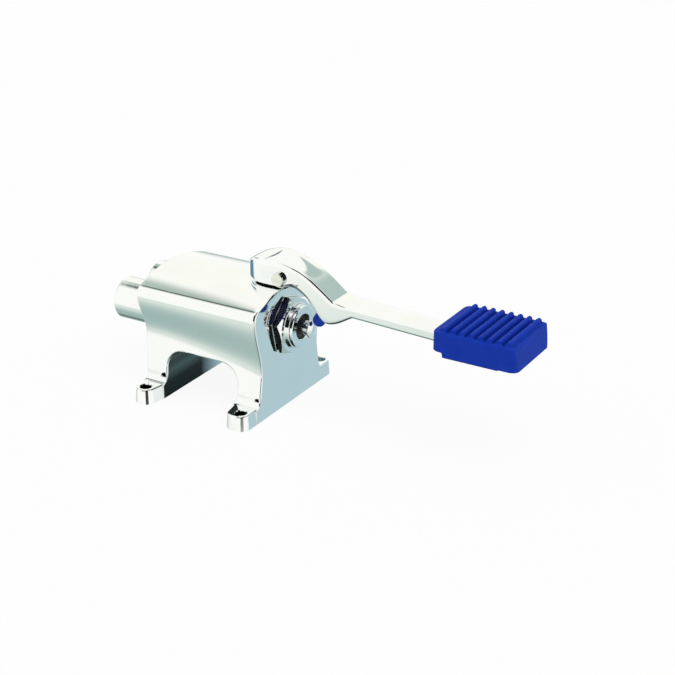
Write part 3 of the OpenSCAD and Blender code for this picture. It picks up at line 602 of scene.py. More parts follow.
def rubber_ring(name, node, body, pieces):
    """One or more turned rings that stand for a node."""
    first = pieces[0]
    for other in pieces[1:]:
        shape = bmesh.new()
        shape.from_mesh(first.data)
        shape.from_mesh(other.data)
        shape.to_mesh(first.data)
        shape.free()
        bpy.data.objects.remove(other)
    first.name = name
    polish(first, crease=40)
    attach(first, body)
    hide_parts(node)


gasket_gap, gasket_in, gasket_edge = 0.05, 0.5, 0.15
gasket_band = ring_band(front_x, hex_x, sleeve_r + gasket_gap, hex_af / 2 - gasket_in, gasket_edge)
rubber_ring("flange_gasket_ring", "flange_gasket", "body", [turned("ring", gasket_band, black_rubber)])

o_ring_r, o_ring_proud = 0.82, 0.02
o_ring_profile = arc((0, 0), o_ring_r, 0, 360, steps=20)[:-1]
rubber_ring("bonnet_o_ring_pair", "bonnet_o_rings", "body", [
    turned("ring", o_ring_profile + (sleeve_r - o_ring_r + o_ring_proud, x + groove_w / 2), black_rubber)
    for x in groove_xs])

seal_t, seal_apart, seal_gap, seal_edge = 2.0, 0.1, 0.05, 0.2
lip_outer, lip_root_outer, lip_root_inner, lip_inner, lip_d = 0.8, 1.1, 0.9, 0.5, 0.6
seal_profile = [
    (rod_hole_r, 0), (seal_r - seal_edge, 0), (seal_r - seal_gap, seal_edge),
    (seal_r - seal_gap, seal_t - seal_edge), (seal_r - seal_edge, seal_t), (seal_r - lip_outer, seal_t),
    (seal_r - lip_root_outer, seal_t - lip_d), (rod_hole_r + lip_root_inner, seal_t - lip_d),
    (rod_hole_r + lip_inner, seal_t), (rod_hole_r, seal_t)]
rubber_ring("spindle_seal_pair", "spindle_seals", "body", [
    turned("ring", [(radius, x + along) for radius, along in seal_profile], black_rubber)
    for x in (web_x - seal_t, web_x - 2 * seal_t - seal_apart)])

wiper_face = wiper_high[0]
wiper_gap, wiper_edge, wiper_shelf, wiper_outer_edge = 0.05, 0.3, 0.35, 0.5
wiper_lip_foot, wiper_lip_mid, wiper_lip_out, wiper_lip_in = 1.6, 0.9, 0.6, 0.15
wiper_lip_mid_drop, wiper_lip_drop = 0.15, 0.2
wiper_profile = [
    (rod_hole_r, recess_x), (recess_r - wiper_gap, recess_x),
    (recess_r - wiper_gap, wiper_face - wiper_outer_edge), (recess_r - wiper_edge, wiper_face - wiper_shelf),
    (rod_hole_r + wiper_lip_foot, wiper_face - wiper_shelf),
    (rod_hole_r + wiper_lip_mid, wiper_face - wiper_lip_mid_drop), (rod_hole_r + wiper_lip_out, wiper_face),
    (rod_hole_r + wiper_lip_in, wiper_face), (rod_hole_r, wiper_face - wiper_lip_drop)]
rubber_ring("wiper_lip_ring", "wiper_ring", "body", [turned("ring", wiper_profile, black_rubber)])

washer_low, washer_high = box_mm("seat_washer")
washer_r = (washer_high[1] - washer_low[1]) / 2
washer_hole_r, washer_edge = 2.55, 0.35
washer_band = ring_band(washer_low[0], washer_high[0], washer_hole_r, washer_r, washer_edge)
rubber_ring("seat_washer_ring", "seat_washer", "spindle", [turned("ring", washer_band, black_rubber)])


# Brass inside the valve: the seat bush, the disc and its nut, the spring's collar and the lever's bush.
# Turned from bar and left bare, so the lathe's fine rings show. The fibre ring under the seat is red.
def dress(piece, material):
    piece.data.materials.clear()
    piece.data.materials.append(material)


brass, brass_tree, brass_shader, brass_place = new_material("turned_brass", metallic=1.0)
turning = add_node(brass_tree, "ShaderNodeTexWave", {
    "Vector": brass_place, "Scale": 900.0, "Distortion": 0.6, "Detail": 2.0},
    bands_direction="X").outputs["Fac"]
colour_by(brass_tree, brass_shader, noise_of(brass_tree, brass_place, 160, detail=4.0),
          (0.72, 0.52, 0.24), (0.60, 0.41, 0.18))
gloss_by(brass_tree, brass_shader, turning, 0.22, 0.36, 0, 1)
relief(brass_tree, brass_shader, turning, 0.006)
for node in ("valve_seat", "valve_disc", "disc_nut", "spring_collar", "pivot_bush"):
    dress(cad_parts[node], brass)

fibre, fibre_tree, fibre_shader, fibre_place = new_material("red_fibre", roughness=0.75)
strands = noise_of(fibre_tree, stretched(fibre_tree, fibre_place, (400, 2500, 900)), 1.0, detail=4.0)
colour_by(fibre_tree, fibre_shader, strands, (0.20, 0.035, 0.022), (0.11, 0.016, 0.012))
relief(fibre_tree, fibre_shader, strands, 0.03)
dress(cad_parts["seat_gasket"], fibre)


# Spindle and its button: a bright ground rod of stainless steel that slides in the headwork. The button
# pressed on its tip is what the lever's bumper pushes. Its inner end is threaded for the disc's nut.
steel, steel_tree, steel_shader, steel_place = new_material("ground_steel", metallic=1.0)
steel_rings = noise_of(steel_tree, stretched(steel_tree, steel_place, (3500, 60, 60)), 1.0, detail=3.0)
colour_by(steel_tree, steel_shader, steel_rings, (0.78, 0.80, 0.82), (0.68, 0.70, 0.73))
gloss_by(steel_tree, steel_shader, steel_rings, 0.09, 0.18)
relief(steel_tree, steel_shader, steel_rings, 0.004)

spindle_low, spindle_high = box_mm("spindle")
cap_low, cap_high = box_mm("spindle_cap")
collar_low, collar_high = box_mm("spring_collar")
rod_r, stem_r, stem_edge, groove_l, spigot_r = 4.5, 4, 0.2, 0.7, 3
thread_r, thread_d, thread_pitch = 2.5, 0.35, 0.8
thread_form = [(thread_r - thread_d, 0.05), (thread_r, 0.35), (thread_r, 0.45), (thread_r - thread_d, 0.75)]
washer_x = washer_high[0]
thread = []
for i in range(int((washer_x - spindle_low[0]) / thread_pitch)):
    x = spindle_low[0] + i * thread_pitch
    thread += [(radius, x + along) for radius, along in thread_form]
spindle_rod = turned("spindle_rod", [(0, spindle_low[0])] + thread + [
    (thread_r, washer_x), (stem_r - stem_edge, washer_x), (stem_r, washer_x + stem_edge),
    (stem_r, collar_high[0]), (rod_r, collar_high[0]), (rod_r, cap_low[0] - groove_l),
    (rod_r - groove_l, cap_low[0] - groove_l), (rod_r - groove_l, cap_low[0]), (spigot_r, cap_low[0]),
    (spigot_r, spindle_high[0]), (0, spindle_high[0])], steel)
polish(spindle_rod)
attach(spindle_rod, "spindle")
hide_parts("spindle")

cap_r = (cap_high[1] - cap_low[1]) / 2
cap_edge, cap_crown, cap_break, cap_gap, cap_room = 0.5, 1.3, 0.3, 0.025, 0.05
cap_hole_r, cap_hole_x = spigot_r + cap_gap, spindle_high[0] + cap_room
cap_curve = [(cap_r - inset, cap_high[0] - cap_crown - set_back)
             for inset, set_back in rounding(cap_edge, -1)]
cap_curve += [((cap_r - cap_edge) * share, cap_high[0] - cap_crown * share ** 2)
              for share in (0.8, 0.6, 0.4, 0.2)]
spindle_button = turned("spindle_button", [
    (cap_hole_r, cap_low[0]), (cap_r - cap_break, cap_low[0]),
    (cap_r, cap_low[0] + cap_break)] + cap_curve + [
    (0, cap_high[0]), (0, cap_hole_x), (cap_hole_r, cap_hole_x)], turned_chrome)
polish(spindle_button, crease=40)
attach(spindle_button, "spindle")
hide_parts("spindle_cap")


# Return spring and port threads: both are wound by one rule, a bar of given section carried along a helix
# on the X axis. The spring is hard-drawn steel wire, and the threads are cut into the casting's two ports.
def new_tree(name, inputs):
    tree = bpy.data.node_groups.new(name, "GeometryNodeTree")
    sockets = {key: tree.interface.new_socket(key, in_out="INPUT", socket_type=kind).identifier
               for key, kind in inputs.items()}
    tree.interface.new_socket("Geometry", in_out="OUTPUT", socket_type="NodeSocketGeometry")
    return tree, sockets, tree.nodes.new("NodeGroupInput").outputs


def end_tree(tree, shape, material):
    whole = add_node(tree, "GeometryNodeRealizeInstances", {"Geometry": shape})
    dressed = add_node(tree, "GeometryNodeSetMaterial", {
        "Geometry": whole.outputs["Geometry"], "Material": material})
    add_node(tree, "NodeGroupOutput", {"Geometry": dressed.outputs["Geometry"]})


def grow(name, tree, sockets, values):
    """An object whose mesh is what the node tree makes from these sizes."""
    piece = bpy.data.objects.new(name, bpy.data.meshes.new(name))
    scene.collection.objects.link(piece)
    step = piece.modifiers.new("grow", "NODES")
    step.node_group = tree
    for key, value in values.items():
        step[sockets[key]] = value
    take_result(piece)
    piece.data.shade_smooth()
    return piece


def winding_tree(material):
    tree, sockets, size = new_tree("winding_" + material.name, {
        "Turns": "NodeSocketFloat", "Radius": "NodeSocketFloat", "Length": "NodeSocketFloat",
        "Bar radius": "NodeSocketFloat", "Bar sides": "NodeSocketInt", "Start": "NodeSocketVector"})
    helix = add_node(tree, "GeometryNodeCurveSpiral", {
        "Resolution": 48, "Rotations": size["Turns"], "Start Radius": size["Radius"],
        "End Radius": size["Radius"], "Height": size["Length"]})
    laid = add_node(tree, "GeometryNodeTransform", {
        "Geometry": helix.outputs["Curve"], "Translation": size["Start"], "Rotation": (0, math.pi / 2, 0)})
    bar = add_node(tree, "GeometryNodeCurvePrimitiveCircle", {
        "Resolution": size["Bar sides"], "Radius": size["Bar radius"]})
    swept = add_node(tree, "GeometryNodeCurveToMesh", {
        "Curve": laid.outputs["Geometry"], "Profile Curve": bar.outputs["Curve"], "Fill Caps": True})
    end_tree(tree, swept.outputs["Mesh"], material)
    return tree, sockets


spring_steel, wire_tree, wire_shader, wire_place = new_material("spring_wire", metallic=1.0)
drawn = noise_of(wire_tree, wire_place, 700, detail=4.0)
colour_by(wire_tree, wire_shader, drawn, (0.55, 0.56, 0.58), (0.40, 0.41, 0.43))
gloss_by(wire_tree, wire_shader, drawn, 0.2, 0.34)
relief(wire_tree, wire_shader, drawn, 0.006)

wire_r, wire_sides, coil_r, spring_turns, spring_gap = 0.8, 12, 6.7, 6, 0.05
spring_start, spring_end = guide_x + wire_r + spring_gap, collar_low[0] - wire_r - spring_gap
return_coil = grow("return_coil", *winding_tree(spring_steel), {
    "Turns": spring_turns, "Radius": coil_r * mm, "Length": (spring_end - spring_start) * mm,
    "Bar radius": wire_r * mm, "Bar sides": wire_sides,
    "Start": Vector((spring_start, 0, axis_z)) * mm})
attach(return_coil, "body")
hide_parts("return_spring")
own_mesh(return_coil)

thread_tree = winding_tree(cast_chrome)
port_thread_pitch, port_thread_turns, port_thread_r, port_thread_sides = 1.8, 6.0, 0.8, 6
port_thread_sunk, port_thread_crease = 0.15, 40
for name, y in (("inlet_thread", -port_y), ("outlet_thread", port_y)):
    port_thread = grow(name, *thread_tree, {
        "Turns": port_thread_turns, "Radius": (port_bore_r + port_thread_sunk) * mm,
        "Length": port_thread_turns * port_thread_pitch * mm,
        "Bar radius": port_thread_r * mm, "Bar sides": port_thread_sides,
        "Start": Vector((port_end_x + port_mouth + port_thread_r, y, axis_z)) * mm})
    port_thread.data.set_sharp_from_angle(angle=math.radians(port_thread_crease))
    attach(port_thread, "body")


# Pedal lever: a chromed casting hung on the pin. A round-ended hood covers the tongue, the neck slopes down
# to a crease, and a straight arm with a crowned top runs on into the pad, where it ends in a flat plate.
head_rear, head_rise, head_w, elbow_w, arm_w, arm_t = 26, 11, 20.6, 18.6, 16.6, 7.6
crease_out, crease_drop, chin_drop, chin_back, elbow_out, arm_fall = 36, 7.5, 22.8, 3.8, 12.8, 2.8
head_end_l, shoulder_out, shoulder_dip, crown_dip, heel_r, crease_r = 15, 8.6, 2.1, 5.7, 2, 0.15
hood_rise, hood_peak, hood_end, hood_power = 5.25, 3, 22, 1.5
arm_crown, arm_crown_run = 0.9, 10
pad_low, pad_high = box_mm("pedal_pad")
pad_x, pad_end_x, pad_z = pad_low[0], pad_high[0], pad_low[2]
pad_wall, plate_t, plate_edge, plate_lap, plate_corner_r = 3.2, 5, 0.4, 0.5, 1.8
arm_end = pad_x + pad_wall - pin_x
top_round, head_bottom_round, arm_bottom_round = 1.2, 2.4, 1.6
boss_r, boss_end, underside = 6.4, 310, 5.9


def bezier(points, steps=24):
    t = np.linspace(0, 1, steps + 1)[:, None]
    a, b, c, d = (np.array(p, float) for p in points)
    return (1 - t) ** 3 * a + 3 * (1 - t) ** 2 * t * b + 3 * (1 - t) * t * t * c + t ** 3 * d


def pulled(start, end, start_pull, end_pull):
    """A curve from one point to another that leaves and arrives as it is pulled."""
    start, end = np.array(start, float), np.array(end, float)
    return bezier([start, start + start_pull, end + end_pull, end])


crown_rear = (-head_rear, head_rise - crown_dip)
head_shoulder = (shoulder_out, head_rise - shoulder_dip)
crease = np.array([crease_out, -crease_drop])
elbow = crease + [elbow_out, -arm_t]
chin = (crease_out - chin_back, -chin_drop)
throat_foot, throat_top = (17.5, -8.7), (7.5, -4.2)
crown_pull, hood_pull = (9.8, 7.3), (-14.3, 3.1)
neck_pull, crease_pull = (6, -1.3), (-17.4, 13.5)
throat_top_pull, throat_foot_pull = (4, 0), (-3.5, 2.4)
jaw_pull, chin_rear_pull = (6.5, -5), (-5, -0.2)
chin_front_pull, elbow_pull = (6, 0.2), (-4.8, -2.4)
lever_top = np.concatenate([
    pulled(crown_rear, head_shoulder, crown_pull, hood_pull),
    pulled(head_shoulder, crease, neck_pull, crease_pull)[1:],
    [[arm_end, -crease_drop - arm_fall]]])
boss = arc((0, 0), boss_r, 180 + math.degrees(math.asin(underside / boss_r)), boss_end, steps=12)
lever_under = np.concatenate([
    arc((heel_r - head_rear, heel_r - underside), heel_r, 180, 270, steps=8), boss,
    pulled(throat_top, throat_foot, throat_top_pull, throat_foot_pull),
    pulled(throat_foot, chin, jaw_pull, chin_rear_pull)[1:],
    pulled(chin, elbow, chin_front_pull, elbow_pull)[1:], [[arm_end, -crease_drop - arm_fall - arm_t]]])


def top_z(x):
    return np.interp(x, *lever_top.T)


def under_z(x):
    return np.interp(x, *lever_under.T)


def edge_z(x):
    """Height of the top's edges: the arm's sink below its crowned middle."""
    return top_z(x) - arm_crown * ease((x - crease_out) / arm_crown_run)


def ridge_z(x):
    """Height of the top's middle: the hood swells above the head's edges and dies out on the neck."""
    rear_climb = (x + head_rear) / (hood_peak + head_rear)
    front_climb = (hood_end - x) / (hood_end - hood_peak)
    return top_z(x) + hood_rise * ease(rear_climb if x < hood_peak else front_climb)


corner = arc((0, 0), 1, 180, 90, steps=28) * [head_end_l, head_w / 2] + [head_end_l - head_rear, 0]
straights = np.concatenate([
    np.linspace(head_end_l - head_rear, shoulder_out, 20)[1:],
    np.linspace(shoulder_out, crease_out, 40)[1:-1], [crease_out - crease_r, crease_out + crease_r],
    np.linspace(crease_out, elbow[0], 14)[1:], np.linspace(elbow[0], arm_end, 24)[1:]])
half_w = np.interp(straights, [shoulder_out, crease_out, arm_end], [head_w / 2, elbow_w / 2, arm_w / 2])
plan = np.concatenate([corner, np.column_stack([straights, half_w])])
plan_out = -right_of(np.gradient(plan, axis=0))
plan_out[0] = (-1, 0)
plan_out[len(corner):] = [0, 1]

column = [("under", inset, rise) for inset, rise in rounding(1, 2)]
column += [("wall", share, 0) for share in (0.25, 0.5, 0.75)]
column += [("top", inset, drop) for inset, drop in rounding(top_round, -2)]
across = np.linspace(1, -1, 17)[1:-1]


def lever_section(i):
    """Ring of points round the lever at one station: near wall, top, far wall, flat underside."""
    wall = []
    bottom_round = np.interp(plan[i][0], [crease_out, elbow[0]], [head_bottom_round, arm_bottom_round])
    for place, a, b in column:
        a, b = (a * bottom_round, b * bottom_round) if place == "under" else (a, b)
        inset = 0 if place == "wall" else a
        x, y = plan[i] - inset * plan_out[i]
        low, high = under_z(x), edge_z(x)
        z = low + a * (high - low) if place == "wall" else low + b if place == "under" else high - b
        wall.append((x, max(y, 0), z))
    wall = np.array(wall)
    x, y = wall[-1][:2]
    top = [(x, -y * s, edge_z(x) + (ridge_z(x) - edge_z(x)) * (1 - s * s) ** hood_power) for s in across]
    bottom = [(wall[0][0], wall[0][1] * s, wall[0][2]) for s in across]
    return np.concatenate([wall * [1, -1, 1], top, wall[::-1], bottom]) + [pin_x, 0, pin_z]


lever_casting = plain_mesh("lever_casting", *loft([lever_section(i) for i in range(len(plan))]), cast_chrome)


def rounded_plan(x0, x1, width, radius, steps=8):
    half = width / 2 - radius
    return np.concatenate([
        arc((x1 - radius, half), radius, 0, 90, steps), arc((x0 + radius, half), radius, 90, 180, steps),
        arc((x0 + radius, -half), radius, 180, 270, steps),
        arc((x1 - radius, -half), radius, 270, 360, steps)])


def slab(name, outline, levels, material):
    """A plan outline carried up through (height, inset) levels."""
    outward = right_of(np.roll(outline, -1, 0) - np.roll(outline, 1, 0))
    return plain_mesh(name, *loft([np.column_stack([outline - inset * outward, np.full(len(outline), z)])
                                   for z, inset in levels]), material)


plate_z = pin_z - crease_drop - arm_fall - plate_t
pad_w = pad_high[1] - pad_low[1]
plate_plan = rounded_plan(pad_x + pad_wall - plate_lap, pad_end_x - pad_wall,
                          pad_w - 2 * pad_wall, plate_corner_r)
plate_levels = [(plate_z, plate_edge), (plate_z + plate_edge, 0),
                (plate_z + plate_t - plate_edge, 0), (plate_z + plate_t, plate_edge)]
carve(lever_casting, slab("plate", plate_plan, plate_levels, cast_chrome), "UNION")

slot_gap, slot_side_gap, slot_past, slot_turn = 0.6, 0.3, 1, 150
slot_r = tongue_r + slot_gap
slot_rear = tongue_base + slot_past
slot_half = tongue_t / 2 + slot_side_gap
slot = np.concatenate([
    [[-slot_rear, -chin_drop], [slot_r, -chin_drop]], arc((0, 0), slot_r, 0, slot_turn, steps=28),
    [[-slot_rear, slot_r / 2]]]) + [pin_x, pin_z]
carve(lever_casting, upright("slot", slot, -slot_half, slot_half, cast_chrome))
pin_r = (pin_high[0] - pin_low[0]) / 2
pin_gap = 0.02
carve(lever_casting, turned("pin_hole", bore(pin_r + pin_gap, -head_w, head_w), cast_chrome, axis="y"))

bumper_low, bumper_high = box_mm("bumper")
bumper_r, bumper_stem_r, bumper_stem_l, bumper_lean = 4, 3, 6, math.radians(30)
bumper_nose = np.array([bumper_low[0] + bumper_r, 0, bumper_low[2] + bumper_r])
bumper_axis = np.array([math.sin(bumper_lean), 0, math.cos(bumper_lean)])
bumper_side = np.array([math.cos(bumper_lean), 0, -math.sin(bumper_lean)])
bumper_rise = bumper_high[2] - bumper_nose[2]
bumper_reach = (bumper_rise - bumper_stem_r * math.sin(bumper_lean)) / math.cos(bumper_lean)
bumper_seat = bumper_reach - bumper_stem_l


def on_bumper_axis(name, profile, material, steps=48):
    angle = np.linspace(0, 2 * math.pi, steps, endpoint=False)[:, None]
    rings = [bumper_nose + along * bumper_axis + max(radius, least_r) * (
        np.cos(angle) * bumper_side + np.sin(angle) * np.array([0, 1, 0])) for radius, along in profile]
    return plain_mesh(name, *loft(rings), material)


socket_gap, socket_room = 0.05, 0.5
socket_r = bumper_r + socket_gap
carve(lever_casting, on_bumper_axis("socket", [
    (socket_r, -bumper_r), (socket_r, bumper_seat), (bumper_stem_r, bumper_seat),
    (bumper_stem_r, bumper_reach + socket_room)], cast_chrome))
polish(lever_casting, crease=30)
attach(lever_casting, "lever")
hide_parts("pedal_lever")


# Hinge pin: a plain steel pin, dull plated, pressed through both cheeks of the lever. Its ends stand
# a little proud and are broken with a small round.
pin_half = (pin_high[1] - pin_low[1]) / 2
pin_edge = 0.6
pin_steel = chrome_plate("pin_steel", (0.84, 0.865, 0.745), (0.78, 0.805, 0.69), 0.12, 0.004)
pin_end = [(pin_r - inset, pin_half - set_back) for inset, set_back in rounding(pin_edge, -1)]
hinge_pin_rod = turned("hinge_pin_rod", [(0, -pin_half)] + [(r, -y) for r, y in pin_end[::-1]] + pin_end
                       + [(0, pin_half)], pin_steel, axis="y")
polish(hinge_pin_rod, crease=40)
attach(hinge_pin_rod, "lever")
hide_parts("hinge_pin")


# Bumper: a bright blue nylon plug, its stem pressed into the lever's elbow, whose round nose rests
# on the spindle's button.
bumper_blue, blue_tree, blue_shader, blue_place = new_material(
    "bumper_nylon", roughness=0.32, specular_ior_level=0.2)
flow = noise_of(blue_tree, blue_place, 500, detail=3.0)
colour_by(blue_tree, blue_shader, flow, (0.006, 0.050, 0.46), (0.004, 0.036, 0.36))
relief(blue_tree, blue_shader, flow, 0.01)
plug_edge, stem_end_edge = 0.2, 0.4
nose = [(bumper_r * math.sin(a), -bumper_r * math.cos(a)) for a in np.linspace(0, math.pi / 2, 17)]
bumper_plug = on_bumper_axis("bumper_plug", nose + [
    (bumper_r, bumper_seat - plug_edge), (bumper_r - plug_edge, bumper_seat), (bumper_stem_r, bumper_seat),
    (bumper_stem_r, bumper_reach - stem_end_edge), (bumper_stem_r - stem_end_edge, bumper_reach),
    (0, bumper_reach)], bumper_blue)
polish(bumper_plug, crease=40)
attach(bumper_plug, "lever")
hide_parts("bumper")


# Pedal pad: a blue rubber boot moulded to slip over the lever's plate. Round-topped ribs cross its sunken
# tread, the front face leans back, and a lip turns under the plate. The mould leaves every edge soft.
pad_rubber = rubber("pad_rubber", shine=0.06, tones=((0.0085, 0.043, 0.43), (0.0065, 0.036, 0.37)),
                    cloud=90, gloss_grain=800, gloss=(0.42, 0.56), skin=(2200, 4.0), skin_depth=0.035)

pad_h, pad_corner_r, pad_border, pad_edge, front_lean = 15, 5, 6.6, 1.1, 2.6
rib_count, rib_w, rib_h, rib_side, rib_sunk, rib_round = 8, 3.2, 3.7, 2.0, 1.3, 0.47
tread_in, tread_corner_r, tread_slope, tread_over = 0.4, 1.2, 0.6, 0.1
pad_top = pad_z + pad_h
lip_x0, lip_x1, lip_rear, lip_front = pad_x + 7, pad_end_x - 11.5, 3.1, 0.7
rib_pitch = (pad_end_x - pad_x - 2 * pad_border) / (rib_count - 1)


def rectangle(x0, x1, z0, z1):
    return np.array([[x0, z0], [x1, z0], [x1, z1], [x0, z1]])


pad_levels = [(pad_z + set_back, inset) for inset, set_back in rounding(pad_edge, 2)]
pad_levels += [(pad_top - set_back, inset) for inset, set_back in rounding(pad_edge, -2)]
pad_boot = slab("pad_boot", rounded_plan(pad_x, pad_end_x, pad_w, pad_corner_r), pad_levels, pad_rubber)
pad_past, pad_below, pad_above = pad_end_x + overrun, pad_z - overrun, pad_top + overrun
wide = pad_w / 2 + overrun
front_face = np.array([
    [pad_end_x, pad_z], [pad_past, pad_z], [pad_past, pad_above], [pad_end_x - front_lean, pad_above]])
carve(pad_boot, upright("front_face", front_face, -wide, wide, pad_rubber))
tread_x0 = pad_x + pad_border - rib_pitch / 2
tread_x1 = pad_x + pad_border + (rib_count - 0.5) * rib_pitch
tread_plan = rounded_plan(tread_x0, tread_x1, pad_w - 2 * rib_side - tread_in, tread_corner_r)
tread_levels = [(pad_top - rib_sunk, tread_slope), (pad_top + tread_over, 0)]
carve(pad_boot, slab("tread", tread_plan, tread_levels, pad_rubber))
rear_step = rectangle(pad_x - overrun, lip_x0, pad_below, pad_z + lip_rear)
carve(pad_boot, upright("rear_step", rear_step, -wide, wide, pad_rubber))
front_step = rectangle(lip_x1, pad_past, pad_below, pad_z + lip_front)
carve(pad_boot, upright("front_step", front_step, -wide, wide, pad_rubber))

rib_tree, rib_sockets, rib_size = new_tree("tread_ribs", {
    "Count": "NodeSocketInt", "Pitch": "NodeSocketVector", "First": "NodeSocketVector",
    "Half length": "NodeSocketVector", "Width": "NodeSocketFloat", "Height": "NodeSocketFloat",
    "Round": "NodeSocketFloat"})
row = add_node(rib_tree, "GeometryNodeMeshLine", {
    "Count": rib_size["Count"], "Start Location": rib_size["First"],
    "Offset": rib_size["Pitch"]}, mode="OFFSET")
other_end = add_node(rib_tree, "ShaderNodeVectorMath", {0: rib_size["Half length"], 1: (-1, -1, -1)},
                     operation="MULTIPLY")
bar_line = add_node(rib_tree, "GeometryNodeCurvePrimitiveLine", {
    "Start": other_end.outputs["Vector"], "End": rib_size["Half length"]})
bar_shape = add_node(rib_tree, "GeometryNodeCurvePrimitiveQuadrilateral", {
    "Width": rib_size["Width"], "Height": rib_size["Height"]})
bar_round = add_node(rib_tree, "GeometryNodeFilletCurve", {
    "Curve": bar_shape.outputs["Curve"], "Radius": rib_size["Round"], "Count": 6}, mode="POLY")
bar = add_node(rib_tree, "GeometryNodeCurveToMesh", {
    "Curve": bar_line.outputs["Curve"], "Profile Curve": bar_round.outputs["Curve"], "Fill Caps": True})
ribs = add_node(rib_tree, "GeometryNodeInstanceOnPoints", {
    "Points": row.outputs["Mesh"], "Instance": bar.outputs["Mesh"]})
end_tree(rib_tree, ribs.outputs["Instances"], pad_rubber)
rib_block = 2 * rib_h
tread_ribs = grow("tread_ribs", rib_tree, rib_sockets, {
    "Count": rib_count, "Pitch": Vector((rib_pitch, 0, 0)) * mm,
    "First": Vector((pad_x + pad_border, 0, pad_top - rib_sunk + rib_h - rib_block / 2)) * mm,
    "Half length": Vector((0, pad_w / 2 - rib_side, 0)) * mm,
    "Width": rib_w * mm, "Height": rib_block * mm, "Round": rib_w * rib_round * mm})
carve(pad_boot, tread_ribs, "UNION")

soften = pad_boot.modifiers.new("soften", "REMESH")
soften.mode = "VOXEL"
soften.voxel_size = 0.45 * mm
blur = pad_boot.modifiers.new("blur", "SMOOTH")
blur.factor = 0.5
blur.iterations = 4
take_result(pad_boot)
gap, arm_gap, arm_top_gap = 0.05, 0.1, 0.25
cavity_plan = rounded_plan(pad_x + pad_wall - gap, pad_end_x - pad_wall + gap,
                           pad_w - 2 * pad_wall + 2 * gap, plate_corner_r)
carve(pad_boot, slab("cavity", cavity_plan, [(plate_z - gap, 0), (plate_z + plate_t + gap, 0)], pad_rubber))
arm_top, arm_low = pin_z - crease_drop - arm_fall, pin_z - crease_drop - arm_fall - arm_t
arm_way = rectangle(pad_x - overrun, pad_x + pad_wall, arm_low - arm_gap, arm_top + arm_top_gap)
carve(pad_boot, upright("arm_way", arm_way, -arm_w / 2 - arm_gap, arm_w / 2 + arm_gap, pad_rubber))
window_in, window_side, window_corner_r = 11.5, 11, 3
window = rounded_plan(pad_x + window_in, pad_end_x - window_in, pad_w - 2 * window_side, window_corner_r)
carve(pad_boot, slab("window", window, [(pad_below, 0), (plate_z + overrun, 0)], pad_rubber))
dress(pad_boot, pad_rubber)
pad_boot.data.shade_smooth()
pad_boot.data.set_sharp_from_angle(angle=math.radians(50))
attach(pad_boot, "lever")
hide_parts("pedal_pad")


# Studio: a pale seamless floor that keeps the valve's shadow, a white surround with soft cards that give
# the chrome something to mirror, and two large soft lamps.
floor_half, floor_grey, floor_white = 6000, 0.92, 0.92
floor = plain_mesh("floor", [(-floor_half, -floor_half, 0), (floor_half, -floor_half, 0),
                             (floor_half, floor_half, 0), (-floor_half, floor_half, 0)], [(0, 1, 2, 3)], None)
floor_paint = bpy.data.materials.new("floor_paint")
floor_paint.use_nodes = True
paint_tree = floor_paint.node_tree
paint_tree.nodes.clear()
seen = add_node(paint_tree, "ShaderNodeLightPath").outputs
matt = add_node(paint_tree, "ShaderNodeBsdfDiffuse", {"Color": (floor_grey, floor_grey, floor_grey, 1)})
white = add_node(paint_tree, "ShaderNodeEmission", {"Color": (1, 1, 1, 1), "Strength": 1.0})
share = add_node(paint_tree, "ShaderNodeMath", {0: seen["Is Camera Ray"], 1: floor_white},
                 operation="MULTIPLY")
floor_mix = add_node(paint_tree, "ShaderNodeMixShader", {
    0: share.outputs["Value"], 1: matt.outputs["BSDF"], 2: white.outputs["Emission"]})
add_node(paint_tree, "ShaderNodeOutputMaterial", {"Surface": floor_mix.outputs["Shader"]})
dress(floor, floor_paint)
floor.visible_glossy = False

studio = bpy.data.worlds.new("studio")
studio.use_nodes = True
scene.world = studio
sky = studio.node_tree
sky.nodes.clear()
direction = add_node(sky, "ShaderNodeTexCoord").outputs["Generated"]
way_parts = add_node(sky, "ShaderNodeSeparateXYZ", {"Vector": direction}).outputs
way_x, way_y, way_z = way_parts["X"], way_parts["Y"], way_parts["Z"]


def facing(way):
    return add_node(sky, "ShaderNodeVectorMath", {0: direction, 1: Vector(way).normalized()},
                    operation="DOT_PRODUCT").outputs["Value"]


def rises(value, start, full):
    return add_node(sky, "ShaderNodeMapRange", {"Value": value, "From Min": start, "From Max": full},
                    interpolation_type="SMOOTHSTEP").outputs["Result"]


def cone(way, full, end):
    return rises(facing(way), math.cos(math.radians(end)), math.cos(math.radians(full)))


def all_of(*shares):
    product = shares[0]
    for share in shares[1:]:
        product = add_node(sky, "ShaderNodeMath", {0: product, 1: share},
                           operation="MULTIPLY").outputs["Value"]
    return product


